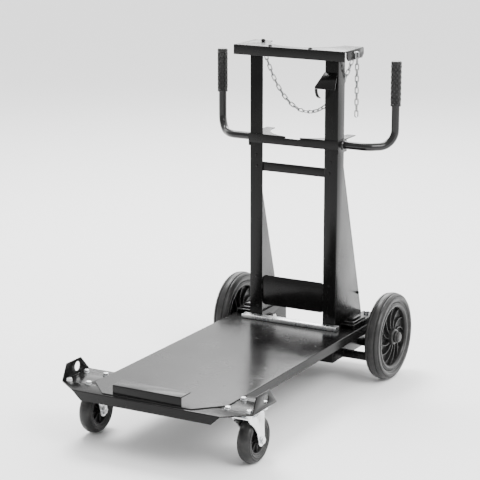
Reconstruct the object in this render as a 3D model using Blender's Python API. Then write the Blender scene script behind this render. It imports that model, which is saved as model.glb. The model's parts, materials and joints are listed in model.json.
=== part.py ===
"""A four-wheeled welding cart: a low tray for a power source, a pair of tapered uprights
that hold a gas cylinder, two swivel casters in front and two large fixed wheels behind.

All lengths are in metres. +Z is up, the cart faces -Y, and the origin is on the floor under
the middle of the cart. Places along the cart are counted back from the front plate's edge.
"""

import math

import bmesh
import bpy
from mathutils import Matrix, Vector

# --- Overall sizes ---------------------------------------------------------------------------
CYLINDER_DIAMETER = 0.204     # the gas cylinder that the cart is made for
UPRIGHT_SETBACK = 0.796       # front edge to the uprights' front faces
CASTER_SETBACK = 0.100        # front edge to the swivel axes
HEAD_HEIGHT = 0.952           # top of the head plate
CRADLE_HEIGHT = 0.700         # top of the cradle plate

# --- Margins that set the other widths and lengths -------------------------------------------
CYLINDER_SIDE_ROOM = 0.035    # cylinder to the uprights' outer faces
TRAY_OUTSIDE_UPRIGHT = 0.058  # tray's edge to the uprights' outer faces
HEAD_OUTSIDE_UPRIGHT = 0.0345
GRIP_OUTSIDE_UPRIGHT = 0.135
WHEEL_OUTSIDE_TRAY = 0.049    # rear wheel's middle plane to the tray's edge
CASTER_OUTSIDE_TRAY = 0.039   # swivel axis to the tray's edge
PLATE_OUTSIDE_CASTER = 0.046  # front plate's side to the swivel axis
AXLE_BEHIND_UPRIGHT = 0.128
TRAY_BEHIND_UPRIGHT = 0.212
AXLE_UNDER_DECK = 0.0303      # the least from the rear axle up to the front plate's underside

# --- Sheet and clearances --------------------------------------------------------------------
SHEET = 0.003
HEAVY_SHEET = 0.006
GAP = 0.0003                  # between pieces that touch
RUNNING_CLEARANCE = 0.0004    # between a turning piece and its pin, on the radius
BOLT_CLEARANCE = 0.0005       # between a bolt and its hole, on the radius

# --- Front plate -----------------------------------------------------------------------------
FRONT_PLATE_DEPTH = 0.173
FRONT_CORNER_CUT = (0.066, 0.050)
FRONT_LIP_DROP = 0.025
FRONT_LIP_CUT = 0.024
EAR_HEIGHT = 0.040
EAR_FRONT = 0.050
EAR_TOP_CUTS = (0.020, 0.038)
EAR_HOLE_RADIUS = 0.0125
EAR_HOLE_RISE = 0.020
EAR_HOLE_SETBACK = 0.118

# --- Tray ------------------------------------------------------------------------------------
TRAY_FRONT = 0.008
TRAY_CORNER_CUT = (0.066, 0.069)
TRAY_SIDE_DROP = 0.025
STOP_WIDTH = 0.200
STOP_HEIGHT = 0.024
STOP_DEPTH = 0.046
REAR_STOP = (0.300, 0.024, 0.012)
REAR_STOP_GAP = 0.001         # ahead of the uprights

# --- Cylinder well ---------------------------------------------------------------------------
WELL_FRONT_OVERLAP = 0.013    # how far the well reaches ahead of the uprights
WELL_FLOOR_HEIGHT = 0.065
WELL_REAR_MARGIN = 0.012      # behind the cylinder
WELL_REAR_LIP = 0.022
WELL_EDGE_LEDGE = 0.004       # tray left inside the uprights' webs

# --- Uprights and what joins them ------------------------------------------------------------
UPRIGHT_FACE_WIDTH = 0.040
UPRIGHT_TOP_DEPTH = 0.042
UPRIGHT_FOOT_DEPTH = 0.174
UPRIGHT_TAPER_TOP = 0.621
CYLINDER_TO_CROSS_BAR = 0.001
SCALLOP_MARGIN = 0.013        # scallop radius over the cylinder's
HEAD_OVERHANG = 0.033         # plate ahead of the uprights
HEAD_DEPTH = 0.121
HEAD_FRONT_DROP = 0.028
HEAD_EAR_START = 0.014
HEAD_EAR_CORNER = 0.010
HEAD_EAR_SLOT = (0.010, 0.014)
HEAD_EAR_SLOT_DROP = 0.013
CRADLE_DEPTH = 0.112
CRADLE_FRONT_DROP = 0.026
CRADLE_SIDE_DROP = 0.036
CRADLE_SIDE_DEPTH = 0.056
CROSS_BAR_TOP = 0.620
CROSS_BAR_DROP = 0.026
LOWER_PANEL_TOP = 0.290
LOWER_PANEL_DROP = 0.087
LOWER_PANEL_CUT = 0.012

# --- Axle mounts and rear wheels -------------------------------------------------------------
MOUNT_WIDTH = 0.044
MOUNT_HEIGHT = 0.014
MOUNT_SPAN = 0.150
BRACKET_BAR = 0.020
BRACKET_REACH = (0.075, 0.071)    # ahead of and behind the axle
BRACKET_TOP_RISE = 0.015
AXLE_DIAMETER = 0.020
AXLE_HEAD_ACROSS = 0.030
AXLE_HEAD_THICKNESS = 0.010
AXLE_STUB_OUT = 0.010
SPACER_WALL = 0.004
REAR_WHEEL_DIAMETER = 0.250
REAR_WHEEL_WIDTH = 0.045
REAR_RIM_DIAMETER = 0.196
REAR_RIM_WALL = 0.012
REAR_HUB_DIAMETER = 0.046
REAR_RIM_WEB = 0.006
REAR_SPOKES = 12
REAR_SPOKE_THICKNESS = 0.0045
REAR_SPOKE_WIDTH = 0.026
CAP_DIAMETER = 0.034
CAP_LENGTH = 0.014

# --- Casters ---------------------------------------------------------------------------------
CASTER_WHEEL_DIAMETER = 0.125
CASTER_WHEEL_WIDTH = 0.037
CASTER_TRAIL = 0.037
CASTER_HEADROOM = 0.008       # wheel to fork crown
CASTER_FORK_SHEET = 0.003
CASTER_FORK_SIDE_GAP = 0.0025
CASTER_CROWN_LENGTH = (0.028, 0.046)
CASTER_TIP_RADIUS = 0.016
CASTER_TIP_START = math.radians(20)
CASTER_TIP_SWEEP = math.radians(190)
CASTER_RACE_DIAMETER = 0.058
CASTER_LEAST_RACE = 0.0157     # height of the swivel race where the casters set the deck
CASTER_PLATE = (0.085, 0.105, 0.003)
CASTER_HOLES = (0.060, 0.080)
CASTER_PIN_DIAMETER = 0.012
CASTER_PIN_HEAD = (0.024, 0.005)
CASTER_HUB_DIAMETER = 0.078
CASTER_BORE_WALL = 0.005
CASTER_AXLE_DIAMETER = 0.010
CASTER_AXLE_HEAD = (0.019, 0.007)
CASTER_BOLT_DIAMETER = 0.008
CASTER_BOLT_HEAD = (0.015, 0.0055)

# --- Handles ---------------------------------------------------------------------------------
HANDLE_TUBE_DIAMETER = 0.022
HANDLE_SETBACK = 0.083        # grip axis behind the uprights' front faces
HANDLE_ROOT_SETBACK = 0.030   # tube's start behind the uprights' front faces
HANDLE_ROOT_LENGTH = 0.074
HANDLE_BEND_RADIUS = 0.045
HANDLE_RISE = 0.232           # from the horizontal run to the tube's top
HANDLE_UNDER_CRADLE = 0.001
GRIP_LENGTH = 0.124
GRIP_WALL = 0.0035
GRIP_END_THICKNESS = 0.003

# --- Hook bracket and chain ------------------------------------------------------------------
HOOK_ROOT_INSETS = (0.042, 0.003)    # its ends, in from the upright's outer face
HOOK_TIP_INSETS = (0.054, -0.008)
HOOK_REACH = 0.036
HOOK_TOP = 0.888
HOOK_FALL = 0.036
HOOK_THICKNESS = 0.006
CABLE_HOOK_WIDTH = 0.008
CABLE_HOOK_RADIUS = 0.030
CABLE_HOOK_THICKNESS = 0.003
CABLE_HOOK_SWEEP = math.radians(75)
CHAIN_DIAMETER = 0.010
CHAIN_SAG = 0.176
CHAIN_TAIL_LENGTH = 0.172
CHAIN_ANCHOR_INSET = 0.047    # left end's bolt, in from the head plate's side
CHAIN_ANCHOR_SETBACK = 0.087  # left end's bolt, back from the head plate's front
CHAIN_DROP_CLEARANCE = 0.0015  # chain's side to what is above its ends
CHAIN_WEB_CLEARANCE = 0.002    # chain to the uprights' webs
CHAIN_SLOT_SETBACK = 0.034     # ear slot behind the uprights' front faces
ANCHOR_HEAD = (0.012, 0.008)
HEAD_BOLT_SPACING = 0.124
HEAD_BOLT_SETBACK = 0.010
HEAD_BOLT_DIAMETER = 0.006
HEAD_BOLT_HEAD = (0.011, 0.005)

# --- Fineness of round shapes ----------------------------------------------------------------
WHEEL_SEGMENTS = 32
CASTER_SEGMENTS = 24
PIN_SEGMENTS = 16
BOLT_SEGMENTS = 8
HOLE_SEGMENTS = 12
EAR_HOLE_SEGMENTS = 20
TREAD_STEPS = 4
BEND_STEPS = 6
HOOK_STEPS = 8
FORK_TIP_STEPS = 8
CATENARY_POINTS = 17
SCALLOP_SEGMENTS = 48
SMOOTH_ANGLE = math.radians(35)

# --- Places that follow from the sizes -------------------------------------------------------
CYLINDER_RADIUS = CYLINDER_DIAMETER / 2
UPRIGHT_OUTER = CYLINDER_RADIUS + CYLINDER_SIDE_ROOM
TRAY_WIDTH = 2 * (UPRIGHT_OUTER + TRAY_OUTSIDE_UPRIGHT)
HEAD_WIDTH = 2 * (UPRIGHT_OUTER + HEAD_OUTSIDE_UPRIGHT)
HANDLE_SPREAD = 2 * (UPRIGHT_OUTER + GRIP_OUTSIDE_UPRIGHT)
REAR_TRACK = TRAY_WIDTH + 2 * WHEEL_OUTSIDE_TRAY
CASTER_TRACK = TRAY_WIDTH + 2 * CASTER_OUTSIDE_TRAY
FRONT_PLATE_WIDTH = CASTER_TRACK + 2 * PLATE_OUTSIDE_CASTER
HOOK_ROOT = tuple(UPRIGHT_OUTER - inset for inset in HOOK_ROOT_INSETS)
HOOK_TIP = tuple(UPRIGHT_OUTER - inset for inset in HOOK_TIP_INSETS)
AXLE_SETBACK = UPRIGHT_SETBACK + AXLE_BEHIND_UPRIGHT
TRAY_LENGTH = UPRIGHT_SETBACK + TRAY_BEHIND_UPRIGHT - TRAY_FRONT
SCALLOP_RADIUS = CYLINDER_RADIUS + SCALLOP_MARGIN
CYLINDER_SETBACK = UPRIGHT_SETBACK + 2 * SHEET + GAP + CYLINDER_TO_CROSS_BAR + CYLINDER_RADIUS
CASTER_RADIUS = CASTER_WHEEL_DIAMETER / 2
REAR_RADIUS = REAR_WHEEL_DIAMETER / 2
CROWN_UNDERSIDE = CASTER_WHEEL_DIAMETER + CASTER_HEADROOM
CROWN_TOP = CROWN_UNDERSIDE + CASTER_FORK_SHEET
CASTER_LEAST_STACK = CROWN_TOP + GAP + CASTER_LEAST_RACE + CASTER_PLATE[2] + GAP
DECK_UNDERSIDE = max(CASTER_LEAST_STACK, REAR_RADIUS + AXLE_UNDER_DECK)
CASTER_PLATE_UNDERSIDE = DECK_UNDERSIDE - GAP - CASTER_PLATE[2]
CASTER_RACE_HEIGHT = CASTER_PLATE_UNDERSIDE - CROWN_TOP - GAP
PLATE_TOP = DECK_UNDERSIDE + SHEET
TRAY_UNDERSIDE = PLATE_TOP + GAP
TRAY_TOP = TRAY_UNDERSIDE + SHEET
UPRIGHT_FOOT = TRAY_TOP + GAP
WELL_FRONT = UPRIGHT_SETBACK - WELL_FRONT_OVERLAP
WELL_REAR = CYLINDER_SETBACK + CYLINDER_RADIUS + WELL_REAR_MARGIN
OVERALL_LENGTH = AXLE_SETBACK + REAR_RADIUS
HANDLE_HEIGHT = CRADLE_HEIGHT - SHEET - HANDLE_UNDER_CRADLE - HANDLE_TUBE_DIAMETER / 2
SIDES = (("left", -1), ("right", 1))


def along(setback):
    """The Y of a place counted back from the front edge."""
    return setback - OVERALL_LENGTH / 2


# --- Materials -------------------------------------------------------------------------------
def make_material(name, colour, roughness, metallic):
    material = bpy.data.materials.new(name)
    material.use_nodes = True
    shader = material.node_tree.nodes["Principled BSDF"]
    shader.inputs["Base Color"].default_value = (*colour, 1.0)
    shader.inputs["Roughness"].default_value = roughness
    shader.inputs["Metallic"].default_value = metallic
    return material


# --- Mesh helpers ----------------------------------------------------------------------------
def clear_scene():
    for obj in list(bpy.data.objects):
        bpy.data.objects.remove(obj, do_unlink=True)


def add_object(name, points, faces, material=None):
    """A mesh object with its normals made to face out."""
    mesh = bpy.data.meshes.new(name)
    mesh.from_pydata([tuple(point) for point in points], [], faces)
    work = bmesh.new()
    work.from_mesh(mesh)
    bmesh.ops.recalc_face_normals(work, faces=work.faces)
    work.to_mesh(mesh)
    work.free()
    obj = bpy.data.objects.new(name, mesh)
    bpy.context.scene.collection.objects.link(obj)
    if material:
        mesh.materials.append(material)
    return obj


def smooth(obj):
    obj.data.shade_smooth()
    obj.data.set_sharp_from_angle(angle=SMOOTH_ANGLE)
    return obj


def prism(name, outline, low, high, axis, material=None):
    """An outline pushed along an axis. The outline is (x, y), (y, z) or (x, z) pairs."""
    place = {
        "Z": lambda u, v, w: (u, v, w),
        "X": lambda u, v, w: (w, u, v),
        "Y": lambda u, v, w: (u, w, v),
    }[axis]
    count = len(outline)
    points = [place(u, v, w) for w in (low, high) for u, v in outline]
    faces = [tuple(range(count)), tuple(range(count, 2 * count))]
    for here in range(count):
        after = (here + 1) % count
        faces.append((here, after, count + after, count + here))
    return add_object(name, points, faces, material)


def box(name, low, high, material=None):
    outline = [(low[0], low[1]), (high[0], low[1]), (high[0], high[1]), (low[0], high[1])]
    return prism(name, outline, low[2], high[2], "Z", material)


def turned(name, profile, segments, axis, centre, material=None):
    """A closed profile of (radius, place along the axis) pairs, turned about the axis."""
    place = {
        "X": lambda r, t, a: (t, r * math.cos(a), r * math.sin(a)),
        "Y": lambda r, t, a: (r * math.sin(a), t, r * math.cos(a)),
        "Z": lambda r, t, a: (r * math.cos(a), r * math.sin(a), t),
    }[axis]
    points = []
    rings = []
    for radius, offset in profile:
        if radius == 0:
            rings.append([len(points)] * segments)
            points.append(place(0, offset, 0))
            continue
        rings.append([len(points) + step for step in range(segments)])
        points += [place(radius, offset, math.tau * step / segments) for step in range(segments)]
    faces = []
    for here in range(len(profile)):
        after = (here + 1) % len(profile)
        for step in range(segments):
            turn = (step + 1) % segments
            corners = (rings[here][step], rings[here][turn], rings[after][turn], rings[after][step])
            face = tuple(dict.fromkeys(corners))
            if len(face) > 2:
                faces.append(face)
    middle = Vector(centre)
    return smooth(add_object(name, [Vector(point) + middle for point in points], faces, material))


def rod(name, radius, start, length, axis, material=None, segments=PIN_SEGMENTS):
    return turned(name, [(0, 0), (radius, 0), (radius, length), (0, length)], segments, axis, start, material)


def combine(obj, tool, operation):
    """Adds a Boolean and hides its tool."""
    step = obj.modifiers.new(operation.lower(), "BOOLEAN")
    step.operation = operation
    step.solver = "EXACT"
    step.object = tool
    tool.hide_render = True
    tool.display_type = "WIRE"
    return obj


def drill(obj, point, radius, length, axis, segments=HOLE_SEGMENTS):
    """A round hole centred on a point."""
    offset = {"X": (length / 2, 0, 0), "Y": (0, length / 2, 0), "Z": (0, 0, length / 2)}[axis]
    start = Vector(point) - Vector(offset)
    return combine(obj, rod(obj.name + "_hole", radius, start, length, axis, segments=segments), "DIFFERENCE")


def apply_modifiers(obj):
    """Keeps the shape that the modifiers make, and removes their hidden tools."""
    bpy.context.view_layer.update()
    graph = bpy.context.evaluated_depsgraph_get()
    made = bpy.data.meshes.new_from_object(obj.evaluated_get(graph))
    tools = [step.object for step in obj.modifiers if step.type == "BOOLEAN"]
    obj.modifiers.clear()
    obj.data = made
    for tool in tools:
        bpy.data.objects.remove(tool, do_unlink=True)
    return obj


def set_origin(obj, point):
    """Moves the object's origin to a world point, with its shape left in place."""
    obj.data.transform(Matrix.Translation(-Vector(point)))
    obj.location = point
    return obj


def add_pivot(name, point):
    pivot = bpy.data.objects.new(name, None)
    pivot.empty_display_size = CASTER_RADIUS
    pivot.location = point
    bpy.context.scene.collection.objects.link(pivot)
    return pivot


def hang(obj, pivot):
    """Puts a piece on a pivot, with the piece's origin on it."""
    apply_modifiers(obj)
    set_origin(obj, pivot.location)
    obj.parent = pivot
    obj.matrix_parent_inverse = Matrix.Translation(-pivot.location)
    return obj


def arc_between(before, corner, after, radius):
    """Points that round a corner of a path."""
    way_in = (before - corner).normalized()
    way_out = (after - corner).normalized()
    half = way_in.angle(way_out) / 2
    start = corner + way_in * radius / math.tan(half)
    centre = corner + (way_in + way_out).normalized() * radius / math.sin(half)
    axis = (start - centre).cross(way_in).normalized()
    sweep = math.pi - 2 * half
    steps = [sweep * step / BEND_STEPS for step in range(BEND_STEPS + 1)]
    return [centre + Matrix.Rotation(-turn, 3, axis) @ (start - centre) for turn in steps]


def tube(name, points, radius, material, resolution=2):
    """A solid round bar along a path of points."""
    curve = bpy.data.curves.new(name, "CURVE")
    curve.dimensions = "3D"
    curve.bevel_depth = radius
    curve.bevel_resolution = resolution
    curve.use_fill_caps = True
    spline = curve.splines.new("POLY")
    spline.points.add(len(points) - 1)
    for knot, point in zip(spline.points, points):
        knot.co = (*point, 1.0)
    obj = bpy.data.objects.new(name, curve)
    bpy.context.scene.collection.objects.link(obj)
    curve.materials.append(material)
    return obj


def hexagon(name, across, start, length, axis, material=None):
    return turned(
        name,
        [(0, 0), (across / math.sqrt(3), 0), (across / math.sqrt(3), length), (0, length)],
        6, axis, start, material,
    )


# --- Front end -------------------------------------------------------------------------------
def front_plate(paint):
    half = FRONT_PLATE_WIDTH / 2
    cut_in, cut_back = FRONT_CORNER_CUT
    outline = [
        (cut_in - half, along(0)),
        (half - cut_in, along(0)),
        (half, along(cut_back)),
        (half, along(FRONT_PLATE_DEPTH)),
        (-half, along(FRONT_PLATE_DEPTH)),
        (-half, along(cut_back)),
    ]
    plate = prism("front_plate", outline, DECK_UNDERSIDE, PLATE_TOP, "Z", paint)
    lip_top = PLATE_TOP - SHEET / 2
    lip_half = half - cut_in
    lip_outline = [
        (FRONT_LIP_CUT - lip_half, PLATE_TOP - FRONT_LIP_DROP),
        (lip_half - FRONT_LIP_CUT, PLATE_TOP - FRONT_LIP_DROP),
        (lip_half, PLATE_TOP - SHEET),
        (lip_half, lip_top),
        (-lip_half, lip_top),
        (-lip_half, PLATE_TOP - SHEET),
    ]
    combine(plate, prism("front_lip", lip_outline, along(0), along(SHEET), "Y"), "UNION")
    for _, side in SIDES:
        for x, y in caster_bolt_places(side):
            drill(plate, (x, y, PLATE_TOP), CASTER_BOLT_DIAMETER / 2 + BOLT_CLEARANCE, 4 * SHEET, "Z")
    return plate


def lashing_ear(side_name, side, paint):
    """The upright lug at each end of the front plate, with its round hole."""
    foot = PLATE_TOP + GAP
    front = along(EAR_FRONT)
    back = along(FRONT_PLATE_DEPTH)
    front_cut, back_cut = EAR_TOP_CUTS
    outline = [
        (front, foot),
        (back, foot),
        (back - back_cut, foot + EAR_HEIGHT),
        (front + front_cut, foot + EAR_HEIGHT),
    ]
    outer = side * FRONT_PLATE_WIDTH / 2
    inner = outer - side * SHEET
    ear = prism(f"lashing_ear_{side_name}", outline, min(inner, outer), max(inner, outer), "X", paint)
    hole = (outer, along(EAR_HOLE_SETBACK), foot + EAR_HOLE_RISE)
    drill(ear, hole, EAR_HOLE_RADIUS, 4 * SHEET, "X", segments=EAR_HOLE_SEGMENTS)
    return apply_modifiers(ear)


def front_stop(paint):
    """The step that the power source's front feet stand behind."""
    front = along(TRAY_FRONT + SHEET)
    foot = TRAY_TOP + GAP
    top = foot + STOP_HEIGHT
    outline = [
        (front, foot),
        (front + SHEET, foot),
        (front + SHEET, top - SHEET),
        (front + STOP_DEPTH, top - SHEET),
        (front + STOP_DEPTH, top),
        (front, top),
    ]
    return prism("front_stop", outline, -STOP_WIDTH / 2, STOP_WIDTH / 2, "X", paint)


def rear_stop(zinc):
    """A plated bar across the tray, just ahead of the uprights."""
    wide, deep, tall = REAR_STOP
    back = along(UPRIGHT_SETBACK - REAR_STOP_GAP)
    foot = TRAY_TOP + GAP
    return box("rear_stop", (-wide / 2, back - deep, foot), (wide / 2, back, foot + tall), zinc)


# --- Tray and well ---------------------------------------------------------------------------
def base_tray(paint):
    half = TRAY_WIDTH / 2
    cut_in, cut_back = TRAY_CORNER_CUT
    rear = TRAY_FRONT + TRAY_LENGTH
    well_half = UPRIGHT_OUTER - WELL_EDGE_LEDGE
    well_front = UPRIGHT_SETBACK + WELL_EDGE_LEDGE
    right = [
        (half - cut_in, TRAY_FRONT),
        (half, TRAY_FRONT + cut_back),
        (half, rear),
        (well_half, rear),
        (well_half, well_front),
    ]
    outline = [(x, along(y)) for x, y in right] + [(-x, along(y)) for x, y in reversed(right)]
    tray = prism("base_tray", outline, TRAY_UNDERSIDE, TRAY_TOP, "Z", paint)
    for side_name, side in SIDES:
        outer = side * half
        inner = outer - side * SHEET
        flange = box(
            f"tray_flange_{side_name}",
            (min(inner, outer), along(FRONT_PLATE_DEPTH + HEAVY_SHEET), TRAY_TOP - TRAY_SIDE_DROP),
            (max(inner, outer), along(rear), TRAY_TOP - SHEET / 2),
        )
        combine(tray, flange, "UNION")
    return apply_modifiers(tray)


def cylinder_well(paint):
    """The sunken box that a gas cylinder stands in: floor, front wall, two sides and a rear lip."""
    top = TRAY_UNDERSIDE - GAP
    floor = WELL_FLOOR_HEIGHT
    front = along(WELL_FRONT)
    rear = along(WELL_REAR)
    well = box("cylinder_well", (-UPRIGHT_OUTER, front, floor), (UPRIGHT_OUTER, rear, top), paint)
    above = top + SHEET
    hollow = box(
        "well_hollow",
        (SHEET - UPRIGHT_OUTER, front + SHEET, floor + SHEET),
        (UPRIGHT_OUTER - SHEET, rear - SHEET, above),
    )
    combine(well, hollow, "DIFFERENCE")
    way_in = box(
        "well_way_in",
        (SHEET - UPRIGHT_OUTER, rear - 2 * SHEET, floor + WELL_REAR_LIP),
        (UPRIGHT_OUTER - SHEET, rear + SHEET, above),
    )
    combine(well, way_in, "DIFFERENCE")
    for _, side in SIDES:
        place = (side * UPRIGHT_OUTER, along(AXLE_SETBACK), REAR_RADIUS)
        drill(well, place, AXLE_DIAMETER / 2 + BOLT_CLEARANCE, 4 * SHEET, "X")
    return apply_modifiers(well)


# --- Uprights and cross members --------------------------------------------------------------
def upright_section(side, grow, low, high, name, material=None):
    """The upright's L section at its top, grown by a clearance."""
    outer = side * (UPRIGHT_OUTER + grow)
    inner = side * (UPRIGHT_OUTER - UPRIGHT_FACE_WIDTH - grow)
    web = side * (UPRIGHT_OUTER - SHEET - grow)
    front = along(UPRIGHT_SETBACK) - grow
    behind_face = along(UPRIGHT_SETBACK) + SHEET + grow
    back = along(UPRIGHT_SETBACK) + UPRIGHT_TOP_DEPTH + grow
    outline = [
        (inner, front), (outer, front), (outer, back), (web, back), (web, behind_face), (inner, behind_face),
    ]
    return prism(name, outline, low, high, "Z", material)


def upright(side_name, side, paint):
    """A folded sheet: a narrow front face and a side web that widens towards its foot."""
    top = HEAD_HEIGHT - SHEET - GAP
    post = upright_section(side, 0, UPRIGHT_FOOT, top, f"upright_{side_name}", paint)
    front = along(UPRIGHT_SETBACK)
    outline = [
        (front + SHEET / 2, UPRIGHT_FOOT),
        (front + UPRIGHT_FOOT_DEPTH, UPRIGHT_FOOT),
        (front + UPRIGHT_TOP_DEPTH, UPRIGHT_TAPER_TOP),
        (front + SHEET / 2, UPRIGHT_TAPER_TOP),
    ]
    outer = side * UPRIGHT_OUTER
    inner = outer - side * SHEET
    web = prism(f"web_{side_name}", outline, min(inner, outer), max(inner, outer), "X")
    return apply_modifiers(combine(post, web, "UNION"))


def scalloped_plate(name, half, overhang, top, depth, front_drop, paint):
    """A level plate with a folded front edge and a round recess for the cylinder behind."""
    front = along(UPRIGHT_SETBACK - overhang)
    plate = box(name, (-half, front, top - SHEET), (half, front + depth, top), paint)
    fold = box(f"{name}_fold", (-half, front, top - front_drop), (half, front + SHEET, top - SHEET / 2))
    combine(plate, fold, "UNION")
    place = (0, along(CYLINDER_SETBACK), top - 2 * SHEET)
    recess = rod(f"{name}_recess", SCALLOP_RADIUS, place, 4 * SHEET, "Z", segments=SCALLOP_SEGMENTS)
    return combine(plate, recess, "DIFFERENCE")


def head_plate(paint):
    """The top plate. Its rounded side ears carry the chain."""
    half = HEAD_WIDTH / 2
    plate = scalloped_plate(
        "head_plate", half, HEAD_OVERHANG, HEAD_HEIGHT, HEAD_DEPTH, HEAD_FRONT_DROP, paint,
    )
    front = along(UPRIGHT_SETBACK - HEAD_OVERHANG)
    low = HEAD_HEIGHT - HEAD_FRONT_DROP
    start = front + HEAD_EAR_START
    end = front + HEAD_DEPTH
    for side_name, side in SIDES:
        outer = side * half
        inner = outer - side * SHEET
        outline = [
            (start, low + HEAD_EAR_CORNER),
            (start + HEAD_EAR_CORNER, low),
            (end - HEAD_EAR_CORNER, low),
            (end, low + HEAD_EAR_CORNER),
            (end, HEAD_HEIGHT - SHEET / 2),
            (start, HEAD_HEIGHT - SHEET / 2),
        ]
        ear = prism(f"head_ear_{side_name}", outline, min(inner, outer), max(inner, outer), "X")
        combine(plate, ear, "UNION")
        wide, tall = HEAD_EAR_SLOT
        place = (outer, along(UPRIGHT_SETBACK + CHAIN_SLOT_SETBACK), HEAD_HEIGHT - HEAD_EAR_SLOT_DROP)
        slot = box(
            f"ear_slot_{side_name}",
            (place[0] - 2 * SHEET, place[1] - wide / 2, place[2] - tall / 2),
            (place[0] + 2 * SHEET, place[1] + wide / 2, place[2] + tall / 2),
        )
        combine(plate, slot, "DIFFERENCE")
    for x, y in head_bolt_places() + [anchor_place()]:
        drill(plate, (x, y, HEAD_HEIGHT), HEAD_BOLT_DIAMETER / 2 + BOLT_CLEARANCE, 4 * SHEET, "Z")
    return apply_modifiers(plate)


def cradle_outer():
    """The cradle's side folds lie against the uprights' webs."""
    return UPRIGHT_OUTER + GAP + SHEET


def cradle_plate(paint):
    """The second plate, at handle height. It wraps round the uprights, which pass through it."""
    outer = cradle_outer()
    overhang = SHEET + GAP
    plate = scalloped_plate(
        "cradle_plate", outer, overhang, CRADLE_HEIGHT, CRADLE_DEPTH, CRADLE_FRONT_DROP, paint,
    )
    front = along(UPRIGHT_SETBACK - overhang)
    for side_name, side in SIDES:
        edges = sorted((side * outer, side * (outer - SHEET)))
        fold = box(
            f"cradle_side_{side_name}",
            (edges[0], front + SHEET / 2, CRADLE_HEIGHT - CRADLE_SIDE_DROP),
            (edges[1], front + CRADLE_SIDE_DEPTH, CRADLE_HEIGHT - SHEET / 2),
        )
        combine(plate, fold, "UNION")
    for side_name, side in SIDES:
        passage = upright_section(
            side, GAP, CRADLE_HEIGHT - 2 * SHEET, CRADLE_HEIGHT + SHEET, f"passage_{side_name}",
        )
        combine(plate, passage, "DIFFERENCE")
    return apply_modifiers(plate)


def head_bar(paint):
    """A flat bar between the uprights, close under the head plate."""
    half = UPRIGHT_OUTER - SHEET - GAP
    front = along(UPRIGHT_SETBACK) + SHEET + GAP
    top = HEAD_HEIGHT - SHEET - GAP
    return box("head_bar", (-half, front, top - CROSS_BAR_DROP), (half, front + SHEET, top), paint)


def cross_bar(paint):
    """A flat bar behind the uprights' faces."""
    half = UPRIGHT_OUTER - SHEET - GAP
    front = along(UPRIGHT_SETBACK) + SHEET + GAP
    return box(
        "cross_bar",
        (-half, front, CROSS_BAR_TOP - CROSS_BAR_DROP),
        (half, front + SHEET, CROSS_BAR_TOP),
        paint,
    )


def lower_panel(paint):
    """A deeper panel with cut corners, low down behind the uprights' faces."""
    half = UPRIGHT_OUTER - SHEET - GAP
    shoulder = UPRIGHT_OUTER - UPRIGHT_FACE_WIDTH - LOWER_PANEL_CUT / 2
    top = LOWER_PANEL_TOP
    low = top - LOWER_PANEL_DROP
    right = [
        (shoulder, low),
        (shoulder + LOWER_PANEL_CUT, low + LOWER_PANEL_CUT),
        (half, low + LOWER_PANEL_CUT),
        (half, top - LOWER_PANEL_CUT),
        (shoulder + LOWER_PANEL_CUT, top - LOWER_PANEL_CUT),
        (shoulder, top),
    ]
    outline = right + [(-x, z) for x, z in reversed(right)]
    front = along(UPRIGHT_SETBACK) + SHEET + GAP
    return prism("lower_panel", outline, front, front + SHEET, "Y", paint)


# --- Axle mounts and rear wheels -------------------------------------------------------------
def axle_mount(side_name, side, paint):
    """A channel bolted on each arm of the tray, over the axle."""
    middle = side * (UPRIGHT_OUTER + TRAY_WIDTH / 2) / 2
    foot = TRAY_TOP + GAP
    half = MOUNT_WIDTH / 2
    outline = [
        (middle - half, foot),
        (middle - half + SHEET, foot),
        (middle - half + SHEET, foot + MOUNT_HEIGHT - SHEET),
        (middle + half - SHEET, foot + MOUNT_HEIGHT - SHEET),
        (middle + half - SHEET, foot),
        (middle + half, foot),
        (middle + half, foot + MOUNT_HEIGHT),
        (middle - half, foot + MOUNT_HEIGHT),
    ]
    centre = along(AXLE_SETBACK) - MOUNT_SPAN / 4
    low = centre - MOUNT_SPAN / 2
    return prism(f"axle_mount_{side_name}", outline, low, low + MOUNT_SPAN, "Y", paint)


def bracket_plate_inner():
    """How far out the wheel bracket's plate starts."""
    return TRAY_WIDTH / 2 + SHEET + HEAVY_SHEET


def wheel_bracket(side_name, side, paint):
    """Two bars that leave the well's side and a plate that joins them beside the wheel."""
    ahead, behind = BRACKET_REACH
    low = WELL_FLOOR_HEIGHT + GAP
    inner = bracket_plate_inner()
    outer = inner + HEAVY_SHEET
    front = along(AXLE_SETBACK - ahead)
    back = along(AXLE_SETBACK + behind)
    top = REAR_RADIUS + BRACKET_TOP_RISE
    edges = sorted((side * inner, side * outer))
    outline = [
        (front, low),
        (back, low),
        (back, low + BRACKET_BAR),
        (along(AXLE_SETBACK) + BRACKET_BAR, top),
        (along(AXLE_SETBACK) - BRACKET_BAR, top),
        (front, low + BRACKET_BAR),
    ]
    bracket = prism(f"wheel_bracket_{side_name}", outline, edges[0], edges[1], "X", paint)
    reach = sorted((side * (UPRIGHT_OUTER + GAP), side * (inner + HEAVY_SHEET / 2)))
    for place, start in (("front", front), ("rear", back - BRACKET_BAR)):
        bar = box(
            f"bracket_bar_{place}_{side_name}",
            (reach[0], start, low),
            (reach[1], start + BRACKET_BAR, low + BRACKET_BAR),
        )
        combine(bracket, bar, "UNION")
    place = (side * inner, along(AXLE_SETBACK), REAR_RADIUS)
    drill(bracket, place, AXLE_DIAMETER / 2 + BOLT_CLEARANCE, 4 * HEAVY_SHEET, "X")
    return apply_modifiers(bracket)


def wheel_inner_face():
    return (REAR_TRACK - REAR_WHEEL_WIDTH) / 2


def hub_faces():
    """The hub is a little wider than the tyre, so that only the hub rubs on its washers."""
    return wheel_inner_face() - GAP, wheel_inner_face() + REAR_WHEEL_WIDTH + GAP


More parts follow.
